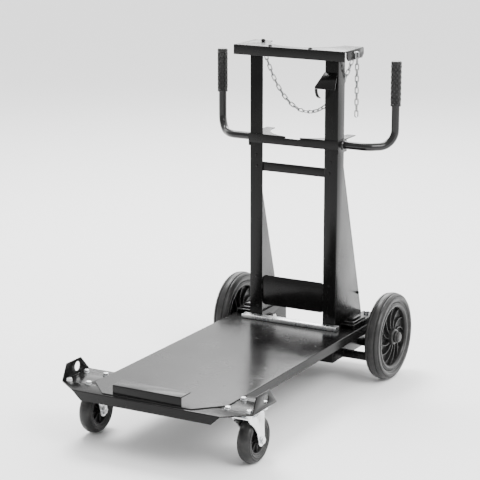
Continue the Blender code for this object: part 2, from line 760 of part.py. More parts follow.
def stub_axle(side_name, side, steel):
    """A bolt from inside the well, through its wall and the bracket, to the wheel's cap."""
    centre = (0, along(AXLE_SETBACK), REAR_RADIUS)
    radius = AXLE_DIAMETER / 2
    head_end = UPRIGHT_OUTER - SHEET - GAP
    head_start = head_end - AXLE_HEAD_THICKNESS
    head_radius = AXLE_HEAD_ACROSS / 2
    tip = hub_faces()[1] + AXLE_STUB_OUT
    profile = [
        (0, side * head_start),
        (head_radius, side * head_start),
        (head_radius, side * head_end),
        (radius, side * head_end),
        (radius, side * tip),
        (0, side * tip),
    ]
    return turned(f"stub_axle_{side_name}", profile, PIN_SEGMENTS, "X", centre, steel)


def ring(name, inner, outer, start, end, axis, centre, segments, material):
    profile = [(inner, start), (outer, start), (outer, end), (inner, end)]
    return turned(name, profile, segments, axis, centre, material)


def wheel_spacer(side_name, side, steel):
    start = bracket_plate_inner() + HEAVY_SHEET + GAP
    end = hub_faces()[0] - GAP
    inner = AXLE_DIAMETER / 2 + RUNNING_CLEARANCE
    centre = (0, along(AXLE_SETBACK), REAR_RADIUS)
    return ring(
        f"wheel_spacer_{side_name}", inner, inner + SPACER_WALL, side * start, side * end,
        "X", centre, PIN_SEGMENTS, steel,
    )


def rear_rim(side_name, side, plastic, pivot):
    """A moulded wheel centre: barrel, thin web, hub and raked spokes."""
    middle = side * REAR_TRACK / 2
    half = REAR_WHEEL_WIDTH / 2
    rim = REAR_RIM_DIAMETER / 2
    well_radius = rim - REAR_RIM_WALL
    hub = REAR_HUB_DIAMETER / 2
    bore = AXLE_DIAMETER / 2 + RUNNING_CLEARANCE
    web = REAR_RIM_WEB / 2
    lip = half - GAP
    hub_half = half + GAP
    profile = [
        (bore, -hub_half), (hub, -hub_half), (hub, -web), (well_radius, -web),
        (well_radius, -lip), (rim, -lip), (rim, lip), (well_radius, lip),
        (well_radius, web), (hub, web), (hub, hub_half), (bore, hub_half),
    ]
    centre = (middle, along(AXLE_SETBACK), REAR_RADIUS)
    wheel = turned(f"rear_rim_{side_name}", profile, WHEEL_SEGMENTS, "X", centre, plastic)
    reach = well_radius + REAR_RIM_WALL / 2
    start = hub - REAR_SPOKE_THICKNESS
    for spoke in range(REAR_SPOKES):
        bar = box(
            f"spoke_{side_name}_{spoke}",
            (-REAR_SPOKE_WIDTH / 2, start, -REAR_SPOKE_THICKNESS / 2),
            (REAR_SPOKE_WIDTH / 2, reach, REAR_SPOKE_THICKNESS / 2),
        )
        turn = Matrix.Rotation(math.tau * (spoke + 0.5) / REAR_SPOKES, 4, "X")
        bar.data.transform(Matrix.Translation(centre) @ turn)
        combine(wheel, bar, "UNION")
    return hang(wheel, pivot)


def tyre_profile(inner, outer, width, crown):
    """A rounded tread on straight sidewalls."""
    half = width / 2
    tread = []
    for step in range(TREAD_STEPS + 1):
        turn = math.pi / 2 * step / TREAD_STEPS
        tread.append((outer - crown * (1 - math.sin(turn)), half - crown * (1 - math.cos(turn))))
    mirrored = [(radius, -offset) for radius, offset in reversed(tread)]
    return [(inner, half)] + tread + mirrored + [(inner, -half)]


def rear_tyre(side_name, side, rubber, pivot):
    inner = REAR_RIM_DIAMETER / 2 + GAP
    crown = REAR_WHEEL_WIDTH * 0.3
    profile = tyre_profile(inner, REAR_RADIUS, REAR_WHEEL_WIDTH, crown)
    centre = (side * REAR_TRACK / 2, along(AXLE_SETBACK), REAR_RADIUS)
    tyre = turned(f"rear_tyre_{side_name}", profile, WHEEL_SEGMENTS, "X", centre, rubber)
    return hang(tyre, pivot)


def axle_cap(side_name, side, plastic):
    """The domed cap pressed on the axle's end. It has a blind hole for the axle."""
    start = hub_faces()[1] + GAP
    end = start + CAP_LENGTH
    outer = CAP_DIAMETER / 2
    hole = AXLE_DIAMETER / 2 + GAP
    bottom = hub_faces()[1] + AXLE_STUB_OUT + GAP
    profile = [
        (hole, side * start), (outer, side * start), (outer, side * (start + CAP_LENGTH / 2)),
        (outer * math.cos(math.pi / 5), side * (end - CAP_LENGTH / 6)), (0, side * end),
        (0, side * bottom), (hole, side * bottom),
    ]
    centre = (0, along(AXLE_SETBACK), REAR_RADIUS)
    return turned(f"axle_cap_{side_name}", profile, PIN_SEGMENTS, "X", centre, plastic)


# --- Casters ---------------------------------------------------------------------------------
def caster_bolt_places(side):
    across, deep = CASTER_HOLES
    x = side * CASTER_TRACK / 2
    y = along(CASTER_SETBACK)
    return [(x + sx * across / 2, y + sy * deep / 2) for sx in (-1, 1) for sy in (-1, 1)]


def caster_plate(side_name, side, zinc):
    """The bolted top plate with the upper ball race below it."""
    wide, deep, thick = CASTER_PLATE
    x = side * CASTER_TRACK / 2
    y = along(CASTER_SETBACK)
    low = CASTER_PLATE_UNDERSIDE
    plate = box(
        f"caster_plate_{side_name}",
        (x - wide / 2, y - deep / 2, low), (x + wide / 2, y + deep / 2, low + thick), zinc,
    )
    race = CASTER_RACE_DIAMETER / 2
    boss = turned(
        f"race_{side_name}",
        [(0, -CASTER_RACE_HEIGHT), (race * 0.8, -CASTER_RACE_HEIGHT), (race, -CASTER_RACE_HEIGHT / 2),
         (race, thick / 2), (0, thick / 2)],
        CASTER_SEGMENTS, "Z", (x, y, low),
    )
    combine(plate, boss, "UNION")
    drill(plate, (x, y, low), CASTER_PIN_DIAMETER / 2 + RUNNING_CLEARANCE, 4 * CASTER_RACE_HEIGHT, "Z")
    for px, py in caster_bolt_places(side):
        drill(plate, (px, py, low), CASTER_BOLT_DIAMETER / 2 + BOLT_CLEARANCE, 4 * SHEET, "Z")
    return apply_modifiers(plate)


def caster_bolt(name, place, zinc):
    """A hexagon bolt down through the front plate and the caster's plate."""
    across, tall = CASTER_BOLT_HEAD
    seat = PLATE_TOP + GAP
    tip = CASTER_PLATE_UNDERSIDE - SHEET
    bolt = hexagon(name, across, (*place, seat), tall, "Z", zinc)
    shank = rod(
        f"{name}_shank", CASTER_BOLT_DIAMETER / 2, (*place, tip), seat - tip + tall / 2, "Z",
        segments=BOLT_SEGMENTS,
    )
    return apply_modifiers(combine(bolt, shank, "UNION"))


def swivel_pin(side_name, side, zinc):
    """The king pin, with its head under the fork's crown."""
    x = side * CASTER_TRACK / 2
    y = along(CASTER_SETBACK)
    head_across, head_tall = CASTER_PIN_HEAD
    head_top = CROWN_UNDERSIDE - GAP
    profile = [
        (0, head_top - head_tall), (head_across / 2, head_top - head_tall), (head_across / 2, head_top),
        (CASTER_PIN_DIAMETER / 2, head_top), (CASTER_PIN_DIAMETER / 2, CASTER_PLATE_UNDERSIDE),
        (0, CASTER_PLATE_UNDERSIDE),
    ]
    return turned(f"swivel_pin_{side_name}", profile, PIN_SEGMENTS, "Z", (x, y, 0), zinc)


def fork_faces():
    """The fork legs' inner and outer distances from the wheel's middle plane."""
    inner = CASTER_WHEEL_WIDTH / 2 + CASTER_FORK_SIDE_GAP
    return inner, inner + CASTER_FORK_SHEET


def fork_outline():
    """The fork seen from the side: a crown, and legs that run back to a round tip at the axle."""
    ahead, behind = CASTER_CROWN_LENGTH
    waist = CROWN_UNDERSIDE - CASTER_FORK_SHEET
    points = [
        (-ahead, waist), (-ahead, CROWN_TOP), (behind, CROWN_TOP), (behind + CASTER_TIP_RADIUS / 4, waist),
    ]
    for step in range(FORK_TIP_STEPS + 1):
        turn = CASTER_TIP_START - CASTER_TIP_SWEEP * step / FORK_TIP_STEPS
        points.append((
            CASTER_TRAIL + CASTER_TIP_RADIUS * math.cos(turn),
            CASTER_RADIUS + CASTER_TIP_RADIUS * math.sin(turn),
        ))
    return points


def caster_fork(side_name, side, zinc, pivot):
    x = side * CASTER_TRACK / 2
    y = along(CASTER_SETBACK)
    inner, outer = fork_faces()
    low = CASTER_RADIUS - 2 * CASTER_TIP_RADIUS
    channel = [
        (x - outer, low), (x - inner, low), (x - inner, CROWN_UNDERSIDE), (x + inner, CROWN_UNDERSIDE),
        (x + inner, low), (x + outer, low), (x + outer, CROWN_TOP), (x - outer, CROWN_TOP),
    ]
    reach = CASTER_WHEEL_DIAMETER
    fork = prism(f"caster_fork_{side_name}", channel, y - reach, y + reach, "Y", zinc)
    outline = [(y + back, z) for back, z in fork_outline()]
    shape = prism(f"fork_shape_{side_name}", outline, x - 2 * outer, x + 2 * outer, "X")
    combine(fork, shape, "INTERSECT")
    race = CASTER_RACE_DIAMETER / 2
    crown = rod(
        f"fork_crown_{side_name}", race, (x, y, CROWN_UNDERSIDE + CASTER_FORK_SHEET / 3),
        CASTER_FORK_SHEET * 2 / 3, "Z", segments=CASTER_SEGMENTS,
    )
    combine(fork, crown, "UNION")
    drill(fork, (x, y, CROWN_TOP), CASTER_PIN_DIAMETER / 2 + RUNNING_CLEARANCE, 4 * SHEET, "Z")
    axle = (x, y + CASTER_TRAIL, CASTER_RADIUS)
    drill(fork, axle, CASTER_AXLE_DIAMETER / 2 + BOLT_CLEARANCE, 4 * outer, "X")
    return hang(fork, pivot)


def caster_axle(side_name, side, zinc, pivot):
    """The bolt and nut through the fork's legs."""
    x = side * CASTER_TRACK / 2
    outer = fork_faces()[1] + GAP
    across, tall = CASTER_AXLE_HEAD
    centre = (x, along(CASTER_SETBACK + CASTER_TRAIL), CASTER_RADIUS)
    end = outer + tall
    body = rod(
        f"caster_axle_{side_name}", CASTER_AXLE_DIAMETER / 2, (x - end, *centre[1:]), 2 * end, "X", zinc,
    )
    for name, start in (("head", outer), ("nut", -end)):
        hexed = hexagon(f"axle_{name}_{side_name}", across, (x + start, *centre[1:]), tall, "X")
        combine(body, hexed, "UNION")
    return hang(body, pivot)


def caster_hub(side_name, side, plastic, pivot):
    """A moulded hub with a waisted web."""
    half = CASTER_WHEEL_WIDTH / 2
    rim = CASTER_HUB_DIAMETER / 2
    bore = CASTER_AXLE_DIAMETER / 2 + RUNNING_CLEARANCE
    boss = bore + CASTER_BORE_WALL
    boss_half = half + CASTER_FORK_SIDE_GAP / 2
    shelf = half * 0.75
    web = half * 0.4
    wall = CASTER_BORE_WALL
    profile = [
        (bore, -boss_half), (boss, -boss_half), (boss + wall / 2, -web), (rim - wall, -web),
        (rim - wall / 2, -shelf), (rim, -shelf), (rim, shelf), (rim - wall / 2, shelf),
        (rim - wall, web), (boss + wall / 2, web), (boss, boss_half), (bore, boss_half),
    ]
    centre = (side * CASTER_TRACK / 2, along(CASTER_SETBACK + CASTER_TRAIL), CASTER_RADIUS)
    hub = turned(f"caster_hub_{side_name}", profile, CASTER_SEGMENTS, "X", centre, plastic)
    return hang(hub, pivot)


def caster_tyre(side_name, side, rubber, pivot):
    inner = CASTER_HUB_DIAMETER / 2 + GAP
    profile = tyre_profile(inner, CASTER_RADIUS, CASTER_WHEEL_WIDTH, CASTER_WHEEL_WIDTH * 0.25)
    centre = (side * CASTER_TRACK / 2, along(CASTER_SETBACK + CASTER_TRAIL), CASTER_RADIUS)
    tyre = turned(f"caster_tyre_{side_name}", profile, CASTER_SEGMENTS, "X", centre, rubber)
    return hang(tyre, pivot)


# --- Handles ---------------------------------------------------------------------------------
def handle_tube(side_name, side, paint):
    """A bent tube: out from the upright, back at an angle, then straight up."""
    root_y = along(UPRIGHT_SETBACK + HANDLE_ROOT_SETBACK)
    grip_x = side * HANDLE_SPREAD / 2
    grip_y = along(UPRIGHT_SETBACK + HANDLE_SETBACK)
    start = Vector((side * (cradle_outer() + GAP), root_y, HANDLE_HEIGHT))
    elbow = start + Vector((side * HANDLE_ROOT_LENGTH, 0, 0))
    corner = Vector((grip_x, grip_y, HANDLE_HEIGHT))
    top = corner + Vector((0, 0, HANDLE_RISE))
    points = [start]
    points += arc_between(start, elbow, corner, HANDLE_BEND_RADIUS)
    points += arc_between(elbow, corner, top, HANDLE_BEND_RADIUS)
    points.append(top)
    return tube(f"handle_tube_{side_name}", points, HANDLE_TUBE_DIAMETER / 2, paint)


def handle_grip(side_name, side, rubber):
    """A sleeve with a closed end, pushed over the tube's top."""
    hole = HANDLE_TUBE_DIAMETER / 2 + GAP
    outer = hole + GRIP_WALL
    bottom = HANDLE_HEIGHT + HANDLE_RISE + GAP
    top = bottom + GRIP_END_THICKNESS
    low = top - GRIP_LENGTH
    profile = [
        (hole, low), (outer, low), (outer, top - GRIP_WALL / 2), (outer - GRIP_WALL, top),
        (0, top), (0, bottom), (hole, bottom),
    ]
    centre = (side * HANDLE_SPREAD / 2, along(UPRIGHT_SETBACK + HANDLE_SETBACK), 0)
    return turned(f"handle_grip_{side_name}", profile, CASTER_SEGMENTS, "Z", centre, rubber)


# --- Hook bracket, chain and top bolts -------------------------------------------------------
def retaining_hook(paint):
    """A sloping tongue on the right upright's face, which widens towards its tip."""
    root_y = along(UPRIGHT_SETBACK) - GAP
    tip_y = root_y - HOOK_REACH
    tip_z = HOOK_TOP - HOOK_FALL
    points = [
        (HOOK_ROOT[0], root_y, HOOK_TOP), (HOOK_ROOT[1], root_y, HOOK_TOP),
        (HOOK_TIP[1], tip_y, tip_z), (HOOK_TIP[0], tip_y, tip_z),
    ]
    points += [(x, y, z - HOOK_THICKNESS) for x, y, z in points]
    faces = [(0, 1, 2, 3), (4, 5, 6, 7), (0, 1, 5, 4), (1, 2, 6, 5), (2, 3, 7, 6), (3, 0, 4, 7)]
    return add_object("retaining_hook", points, faces, paint)


def cable_hook(paint):
    """A curved strip that hangs from the tongue's inner corner."""
    centre_y = along(UPRIGHT_SETBACK) - GAP - HOOK_REACH + CABLE_HOOK_RADIUS
    centre_z = HOOK_TOP - HOOK_FALL - HOOK_THICKNESS - GAP
    outer_arc = []
    inner_arc = []
    for step in range(HOOK_STEPS + 1):
        turn = math.pi + CABLE_HOOK_SWEEP * step / HOOK_STEPS
        direction = (math.cos(turn), math.sin(turn))
        inner_radius = CABLE_HOOK_RADIUS - CABLE_HOOK_THICKNESS
        for arc, radius in ((outer_arc, CABLE_HOOK_RADIUS), (inner_arc, inner_radius)):
            arc.append((centre_y + radius * direction[0], centre_z + radius * direction[1]))
    left = HOOK_TIP[0]
    return prism("cable_hook", outer_arc + inner_arc[::-1], left, left + CABLE_HOOK_WIDTH, "X", paint)


def head_bolt_places():
    y = along(UPRIGHT_SETBACK - HEAD_OVERHANG + HEAD_BOLT_SETBACK)
    return [(-HEAD_BOLT_SPACING / 2, y), (HEAD_BOLT_SPACING / 2, y)]


def anchor_place():
    x = CHAIN_ANCHOR_INSET - HEAD_WIDTH / 2
    return x, along(UPRIGHT_SETBACK - HEAD_OVERHANG + CHAIN_ANCHOR_SETBACK)


def top_bolt(name, place, head, black):
    """A small screw down through the head plate."""
    across, tall = head
    seat = HEAD_HEIGHT + GAP
    tip = HEAD_HEIGHT - 2 * SHEET
    bolt = hexagon(name, across, (*place, seat), tall, "Z", black)
    shank = rod(
        f"{name}_shank", HEAD_BOLT_DIAMETER / 2, (*place, tip), seat - tip + tall / 2, "Z",
        segments=BOLT_SEGMENTS,
    )
    return apply_modifiers(combine(bolt, shank, "UNION"))


def chain_setback():
    """The right end of the chain's loop, just behind the upright's web."""
    return UPRIGHT_SETBACK + UPRIGHT_TOP_DEPTH + CHAIN_WEB_CLEARANCE + CHAIN_DIAMETER / 2


def chain_ends():
    """The loop's ends: inside the right ear, and under the anchor screw on the left."""
    drop = CHAIN_DIAMETER / 2 + CHAIN_DROP_CLEARANCE
    right = Vector((
        HEAD_WIDTH / 2 - SHEET - GAP - CHAIN_DIAMETER / 2,
        along(chain_setback()),
        HEAD_HEIGHT - SHEET - drop,
    ))
    x, y = anchor_place()
    left = Vector((x, y, HEAD_HEIGHT - 2 * SHEET - drop))
    return left, right


def catenary_scale(span, sag):
    """The catenary's parameter for a span between level ends, found by halving."""
    low, high = span / 50, span * 50
    for _ in range(60):
        middle = (low + high) / 2
        if middle * (math.cosh(span / 2 / middle) - 1) > sag:
            low = middle
        else:
            high = middle
    return (low + high) / 2


def chain_path():
    left, right = chain_ends()
    span = (right.xy - left.xy).length
    scale = catenary_scale(span, CHAIN_SAG)
    points = []
    for step in range(CATENARY_POINTS):
        share = step / (CATENARY_POINTS - 1)
        level = left.lerp(right, share)
        offset = (share - 0.5) * span
        level.z -= CHAIN_SAG - scale * (math.cosh(offset / scale) - 1)
        points.append(level)
    return points


def chain_loop(zinc, pivot):
    """The outer shape of the chain that hangs between the uprights."""
    chain = tube("chain_loop", chain_path(), CHAIN_DIAMETER / 2, zinc)
    chain.parent = pivot
    chain.matrix_parent_inverse = Matrix.Translation(-pivot.location)
    return chain


def chain_tail_top():
    """The tail hangs just outside the right ear."""
    return Vector((
        HEAD_WIDTH / 2 + GAP + CHAIN_DIAMETER / 2,
        along(UPRIGHT_SETBACK + CHAIN_SLOT_SETBACK),
        HEAD_HEIGHT - HEAD_EAR_SLOT_DROP,
    ))


def chain_tail(zinc, pivot):
    """The outer shape of the spare end of the chain."""
    top = chain_tail_top()
    start = top - Vector((0, 0, CHAIN_TAIL_LENGTH))
    tail = rod("chain_tail", CHAIN_DIAMETER / 2, start, CHAIN_TAIL_LENGTH, "Z", zinc, segments=8)
    return hang(tail, pivot)


# --- Assembly --------------------------------------------------------------------------------
def build_casters(zinc, hub_plastic, caster_rubber):
    for side_name, side in SIDES:
        x = side * CASTER_TRACK / 2
        y = along(CASTER_SETBACK)
        swivel = add_pivot(f"swivel_{side_name}", Vector((x, y, CROWN_TOP)))
        spin = add_pivot(f"spin_{side_name}", Vector((x, y + CASTER_TRAIL, CASTER_RADIUS)))
        caster_plate(side_name, side, zinc)
        swivel_pin(side_name, side, zinc)
        caster_fork(side_name, side, zinc, swivel)
        caster_axle(side_name, side, zinc, swivel)
        caster_hub(side_name, side, hub_plastic, spin)
        caster_tyre(side_name, side, caster_rubber, spin)
        for number, place in enumerate(caster_bolt_places(side), 1):
            caster_bolt(f"caster_bolt_{side_name}_{number}", place, zinc)


def build_rear_wheels(paint, steel, hub_plastic, rubber):
    for side_name, side in SIDES:
        axis = Vector((side * REAR_TRACK / 2, along(AXLE_SETBACK), REAR_RADIUS))
        spin = add_pivot(f"rear_spin_{side_name}", axis)
        axle_mount(side_name, side, paint)
        wheel_bracket(side_name, side, paint)
        stub_axle(side_name, side, steel)
        wheel_spacer(side_name, side, steel)
        rear_rim(side_name, side, hub_plastic, spin)
        rear_tyre(side_name, side, rubber, spin)
        axle_cap(side_name, side, hub_plastic)


def build_frame(paint, zinc):
    apply_modifiers(front_plate(paint))
    front_stop(paint)
    rear_stop(zinc)
    base_tray(paint)
    cylinder_well(paint)
    head_plate(paint)
    cradle_plate(paint)
    head_bar(paint)
    cross_bar(paint)
    lower_panel(paint)
    retaining_hook(paint)
    cable_hook(paint)
    for side_name, side in SIDES:
        lashing_ear(side_name, side, paint)
        upright(side_name, side, paint)


def build_handles(paint, grip_rubber):
    for side_name, side in SIDES:
        handle_tube(side_name, side, paint)
        handle_grip(side_name, side, grip_rubber)


def build_chain(zinc, paint):
    left, right = chain_ends()
    chain_loop(zinc, add_pivot("chain_loop_pivot", (left + right) / 2))
    chain_tail(zinc, add_pivot("chain_tail_pivot", chain_tail_top()))
    top_bolt("chain_anchor_bolt", anchor_place(), ANCHOR_HEAD, paint)
    for number, place in enumerate(head_bolt_places(), 1):
        top_bolt(f"head_bolt_{number}", place, HEAD_BOLT_HEAD, paint)


def main():
    clear_scene()
    paint = make_material("black_powder_coat", (0.018, 0.018, 0.019), 0.28, 0.0)
    zinc = make_material("bright_zinc", (0.72, 0.73, 0.75), 0.28, 1.0)
    steel = make_material("plain_steel", (0.42, 0.42, 0.43), 0.4, 1.0)
    hub_plastic = make_material("black_nylon", (0.025, 0.025, 0.027), 0.45, 0.0)
    rubber = make_material("dark_grey_rubber", (0.075, 0.077, 0.08), 0.7, 0.0)
    grip_rubber = make_material("black_grip_rubber", (0.012, 0.012, 0.013), 0.6, 0.0)
    build_frame(paint, zinc)
    build_casters(zinc, hub_plastic, rubber)
    build_rear_wheels(paint, steel, hub_plastic, rubber)
    build_handles(paint, grip_rubber)
    build_chain(zinc, paint)


main()
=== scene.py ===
# %% [markdown]
# # A four-wheeled welding cart
# The cart carries a welding power source on its low tray and one gas cylinder behind two tall
# uprights. It is a welded frame of folded sheet steel, powder coated black, on two swivel casters
# and two large rear wheels. The joints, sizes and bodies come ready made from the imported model, so
# this lesson dresses that model: softened sheet edges, real wheels, a chain of links, and finishes.

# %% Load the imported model
import math

import bmesh
import bpy
from mathutils import Matrix, Vector
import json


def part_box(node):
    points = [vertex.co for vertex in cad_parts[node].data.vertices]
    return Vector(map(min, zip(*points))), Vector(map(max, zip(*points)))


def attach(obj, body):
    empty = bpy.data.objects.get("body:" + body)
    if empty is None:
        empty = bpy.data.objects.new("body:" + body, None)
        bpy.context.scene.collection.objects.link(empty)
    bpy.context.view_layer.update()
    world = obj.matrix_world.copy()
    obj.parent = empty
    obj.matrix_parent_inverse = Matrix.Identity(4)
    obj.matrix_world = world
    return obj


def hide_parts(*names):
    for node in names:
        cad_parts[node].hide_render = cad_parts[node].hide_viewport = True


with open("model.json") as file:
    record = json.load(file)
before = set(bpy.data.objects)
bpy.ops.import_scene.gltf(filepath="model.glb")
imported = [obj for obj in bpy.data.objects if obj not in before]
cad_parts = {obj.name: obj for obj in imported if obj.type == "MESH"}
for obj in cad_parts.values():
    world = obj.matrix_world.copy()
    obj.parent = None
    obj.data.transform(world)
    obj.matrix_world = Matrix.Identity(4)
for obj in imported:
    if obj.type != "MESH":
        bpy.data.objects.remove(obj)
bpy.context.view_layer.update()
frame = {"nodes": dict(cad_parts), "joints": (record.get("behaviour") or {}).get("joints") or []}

# %% [markdown]
# ## The camera
# A long lens far away flattens the cart the way a catalogue picture does. The camera is set by the
# direction it stands in, its distance, and the point it looks at, which is easier to read and to
# change than a location and three angles.

# %% Camera
LENS = 134.9
AZIMUTH = math.radians(28.97)
ELEVATION = math.radians(13.65)
DISTANCE = 4.80
LOOK_AT = Vector((0.0, -0.0342, 0.4695))


def make_camera():
    data = bpy.data.cameras.new("camera")
    data.lens = LENS
    camera = bpy.data.objects.new("camera", data)
    bpy.context.scene.collection.objects.link(camera)
    back = Vector((
        math.sin(AZIMUTH) * math.cos(ELEVATION),
        -math.cos(AZIMUTH) * math.cos(ELEVATION),
        math.sin(ELEVATION),
    ))
    camera.location = LOOK_AT + back * DISTANCE
    camera.rotation_euler = (-back).to_track_quat("-Z", "Y").to_euler()
    bpy.context.scene.camera = camera
    return camera


print("camera at", [round(v, 3) for v in make_camera().location])

# %% [markdown]
# ## Finishes
# Every finish starts from one Principled shader. What is the same all over a surface sits on the
# shader's own sockets, and only colour, roughness and bump are wired. A short helper adds a node and
# wires it in one line, so that each recipe below reads like a list of layers. The patterns read
# Object coordinates, in metres: a noise of scale 800 has grains a little over a millimetre wide.


def new_finish(name, slot, roughness, metallic=0.0, **sockets):
    material = bpy.data.materials.new(name)
    material.use_nodes = True
    shader = material.node_tree.nodes["Principled BSDF"]
    shader.inputs["Roughness"].default_value = roughness
    shader.inputs["Metallic"].default_value = metallic
    for label, value in sockets.items():
        shader.inputs[label.replace("_", " ")].default_value = value
    return material, material.node_tree, shader


def add_node(tree, kind, links=None, **settings):
    """Adds a node, sets its options, and wires or sets its inputs by name or number."""
    node = tree.nodes.new(kind)
    for label, value in settings.items():
        setattr(node, label, value)
    for socket, value in (links or {}).items():
        if isinstance(value, bpy.types.NodeSocket):
            tree.links.new(value, node.inputs[socket])
        else:
            node.inputs[socket].default_value = value
    return node


def noise(tree, scale, detail=3.0, roughness=0.55, stretch=(1.0, 1.0, 1.0)):
    place = add_node(tree, "ShaderNodeTexCoord")
    mapping = add_node(tree, "ShaderNodeMapping", {"Vector": place.outputs["Object"], "Scale": stretch})
    return add_node(tree, "ShaderNodeTexNoise", {
        "Vector": mapping.outputs["Vector"], "Scale": scale, "Detail": detail, "Roughness": roughness,
    }).outputs["Fac"]


def spread(tree, value, low, high, out_low, out_high):
    """Maps a value from one range to another, held inside it."""
    return add_node(tree, "ShaderNodeMapRange", {
        "Value": value, "From Min": low, "From Max": high, "To Min": out_low, "To Max": out_high,
    }).outputs["Result"]


def mixed(tree, share, first, second):
    """Mixes two colours. The Mix node keeps one set of sockets for each kind of data."""
    node = tree.nodes.new("ShaderNodeMix")
    node.data_type = "RGBA"
    for number, value in ((0, share), (6, first), (7, second)):
        if isinstance(value, bpy.types.NodeSocket):
            tree.links.new(value, node.inputs[number])
        else:
            node.inputs[number].default_value = value
    return node.outputs[2]


def grey(value, warmth=0.0):
    return (value * (1 + warmth), value, value * (1 - warmth), 1.0)


def bumped(tree, shader, height, distance, strength=1.0):
    bump = add_node(tree, "ShaderNodeBump", {"Height": height, "Distance": distance, "Strength": strength})
    tree.links.new(bump.outputs["Normal"], shader.inputs["Normal"])


# %% [markdown]
# ### Black powder coat
# Powder coat is sprayed as dust and baked, so it flows into a gloss with a very fine orange peel.
# Handling leaves faint hazy patches, and the coat thins and greys along sheared edges. The edges
# carry an attribute called "edge", which the edge-rounding step below paints on them.

# %% Powder coat
def make_powder_coat(name, reflection, gloss):
    material, tree, shader = new_finish(name, "black_powder_coat", 0.3, Specular_IOR_Level=reflection)
    haze = noise(tree, 9.0, 5.0)
    peel = noise(tree, 700.0, 2.0)
    scuffs = noise(tree, 60.0, 6.0, 0.7, (1.0, 1.0, 0.25))
    edge = add_node(tree, "ShaderNodeAttribute", attribute_name="edge").outputs["Fac"]
    chips = spread(tree, noise(tree, 90.0, 4.0), 0.50, 0.72, 0.0, 1.0)
    worn = add_node(tree, "ShaderNodeMath", {0: edge, 1: chips}, operation="MULTIPLY").outputs[0]
    base = mixed(tree, spread(tree, haze, 0.35, 0.7, 0.0, 1.0), grey(0.0028), grey(0.0048, 0.03))
    tree.links.new(mixed(tree, worn, base, grey(0.085)), shader.inputs["Base Color"])
    sheen = spread(tree, haze, 0.3, 0.7, *gloss)
    rubbed = add_node(tree, "ShaderNodeMath", {
        0: spread(tree, scuffs, 0.62, 0.75, 0.0, 0.16), 1: sheen,
    }, operation="ADD").outputs[0]
    final = add_node(tree, "ShaderNodeMath", {
        0: worn, 1: 0.25, 2: rubbed,
    }, operation="MULTIPLY_ADD").outputs[0]
    tree.links.new(final, shader.inputs["Roughness"])
    bumped(tree, shader, peel, 0.00012, 0.35)
    return material


POWDER_COAT = make_powder_coat("powder_coat", 0.16, (0.17, 0.30))
TUBE_COAT = make_powder_coat("tube_coat", 0.36, (0.10, 0.20))
print("finishes:", POWDER_COAT.name, TUBE_COAT.name)

# %% [markdown]
# ### Bright zinc plate
# Casters, bolts and chain are zinc plated: a pale, slightly blue metal whose gloss changes in soft
# patches, with fine streaks from the bath.

# %% Zinc plate
def make_zinc(name, slot, dull, bright):
    material, tree, shader = new_finish(name, slot, 0.3, metallic=1.0)
    cloud = noise(tree, 55.0, 5.0)
    streak = noise(tree, 160.0, 3.0, 0.6, (1.0, 1.0, 0.15))
    colour = mixed(tree, spread(tree, cloud, 0.3, 0.7, 0.0, 1.0), dull, bright)
    tree.links.new(colour, shader.inputs["Base Color"])
    gloss = add_node(tree, "ShaderNodeMath", {
        0: spread(tree, cloud, 0.3, 0.7, 0.20, 0.36), 1: spread(tree, streak, 0.45, 0.7, 0.0, 0.10),
    }, operation="ADD").outputs[0]
    tree.links.new(gloss, shader.inputs["Roughness"])
    bumped(tree, shader, streak, 0.0001, 0.3)
    return material


ZINC = make_zinc("zinc_plate", "bright_zinc", (0.66, 0.68, 0.70, 1), (0.83, 0.83, 0.82, 1))
# The chain's zinc is a darker copy of the plate: its colour is painted shade, which stands for the dark reflections on
# the links.
SHADED_CHAIN_ZINC = make_zinc("chain_zinc_painted_shade", "bright_zinc", (0.22, 0.23, 0.24, 1), (0.46, 0.46, 0.45, 1))
print("finishes:", ZINC.name, SHADED_CHAIN_ZINC.name)

# %% [markdown]
# ### Turned steel, nylon and rubber
# The stub axles are plain turned steel. The hubs are moulded nylon with a fine eggshell grain. The
# tyres are a dark grey rubber that is dusty in patches, and the grips are a softer black one.

# %% Steel, nylon and rubber
def make_steel():
    material, tree, shader = new_finish("turned_steel", "plain_steel", 0.4, metallic=1.0)
    rings = noise(tree, 900.0, 2.0, 0.5, (3.0, 0.2, 0.2))
    tree.links.new(mixed(tree, noise(tree, 30.0), grey(0.34), grey(0.50, 0.02)), shader.inputs["Base Color"])
    tree.links.new(spread(tree, rings, 0.3, 0.7, 0.28, 0.46), shader.inputs["Roughness"])
    bumped(tree, shader, rings, 0.00008, 0.4)
    return material


def make_moulded(name, slot, dark, light, gloss, grain, dust=0.0):
    """Moulded plastic or rubber: a cloudy colour, dust in patches, and a fine grain."""
    material, tree, shader = new_finish(name, slot, gloss[0], Specular_IOR_Level=0.26)
    cloud = noise(tree, 24.0, 6.0)
    speck = noise(tree, grain, 2.0)
    base = mixed(tree, spread(tree, cloud, 0.3, 0.7, 0.0, 1.0), grey(dark), grey(light, 0.01))
    patches = spread(tree, noise(tree, 70.0, 8.0, 0.7), 0.52, 0.75, 0.0, dust)
    tree.links.new(mixed(tree, patches, base, grey(0.20, 0.08)), shader.inputs["Base Color"])
    tree.links.new(spread(tree, cloud, 0.3, 0.7, *gloss), shader.inputs["Roughness"])
    bumped(tree, shader, speck, 0.0002, 0.3)
    return material


STEEL = make_steel()
NYLON = make_moulded("moulded_nylon", "black_nylon", 0.008, 0.014, (0.28, 0.42), 900.0, 0.06)
TYRE = make_moulded("tyre_rubber", "dark_grey_rubber", 0.012, 0.020, (0.28, 0.44), 700.0, 0.10)
GRIP_RUBBER = make_moulded("grip_rubber", "black_grip_rubber", 0.007, 0.012, (0.16, 0.28), 1200.0, 0.04)
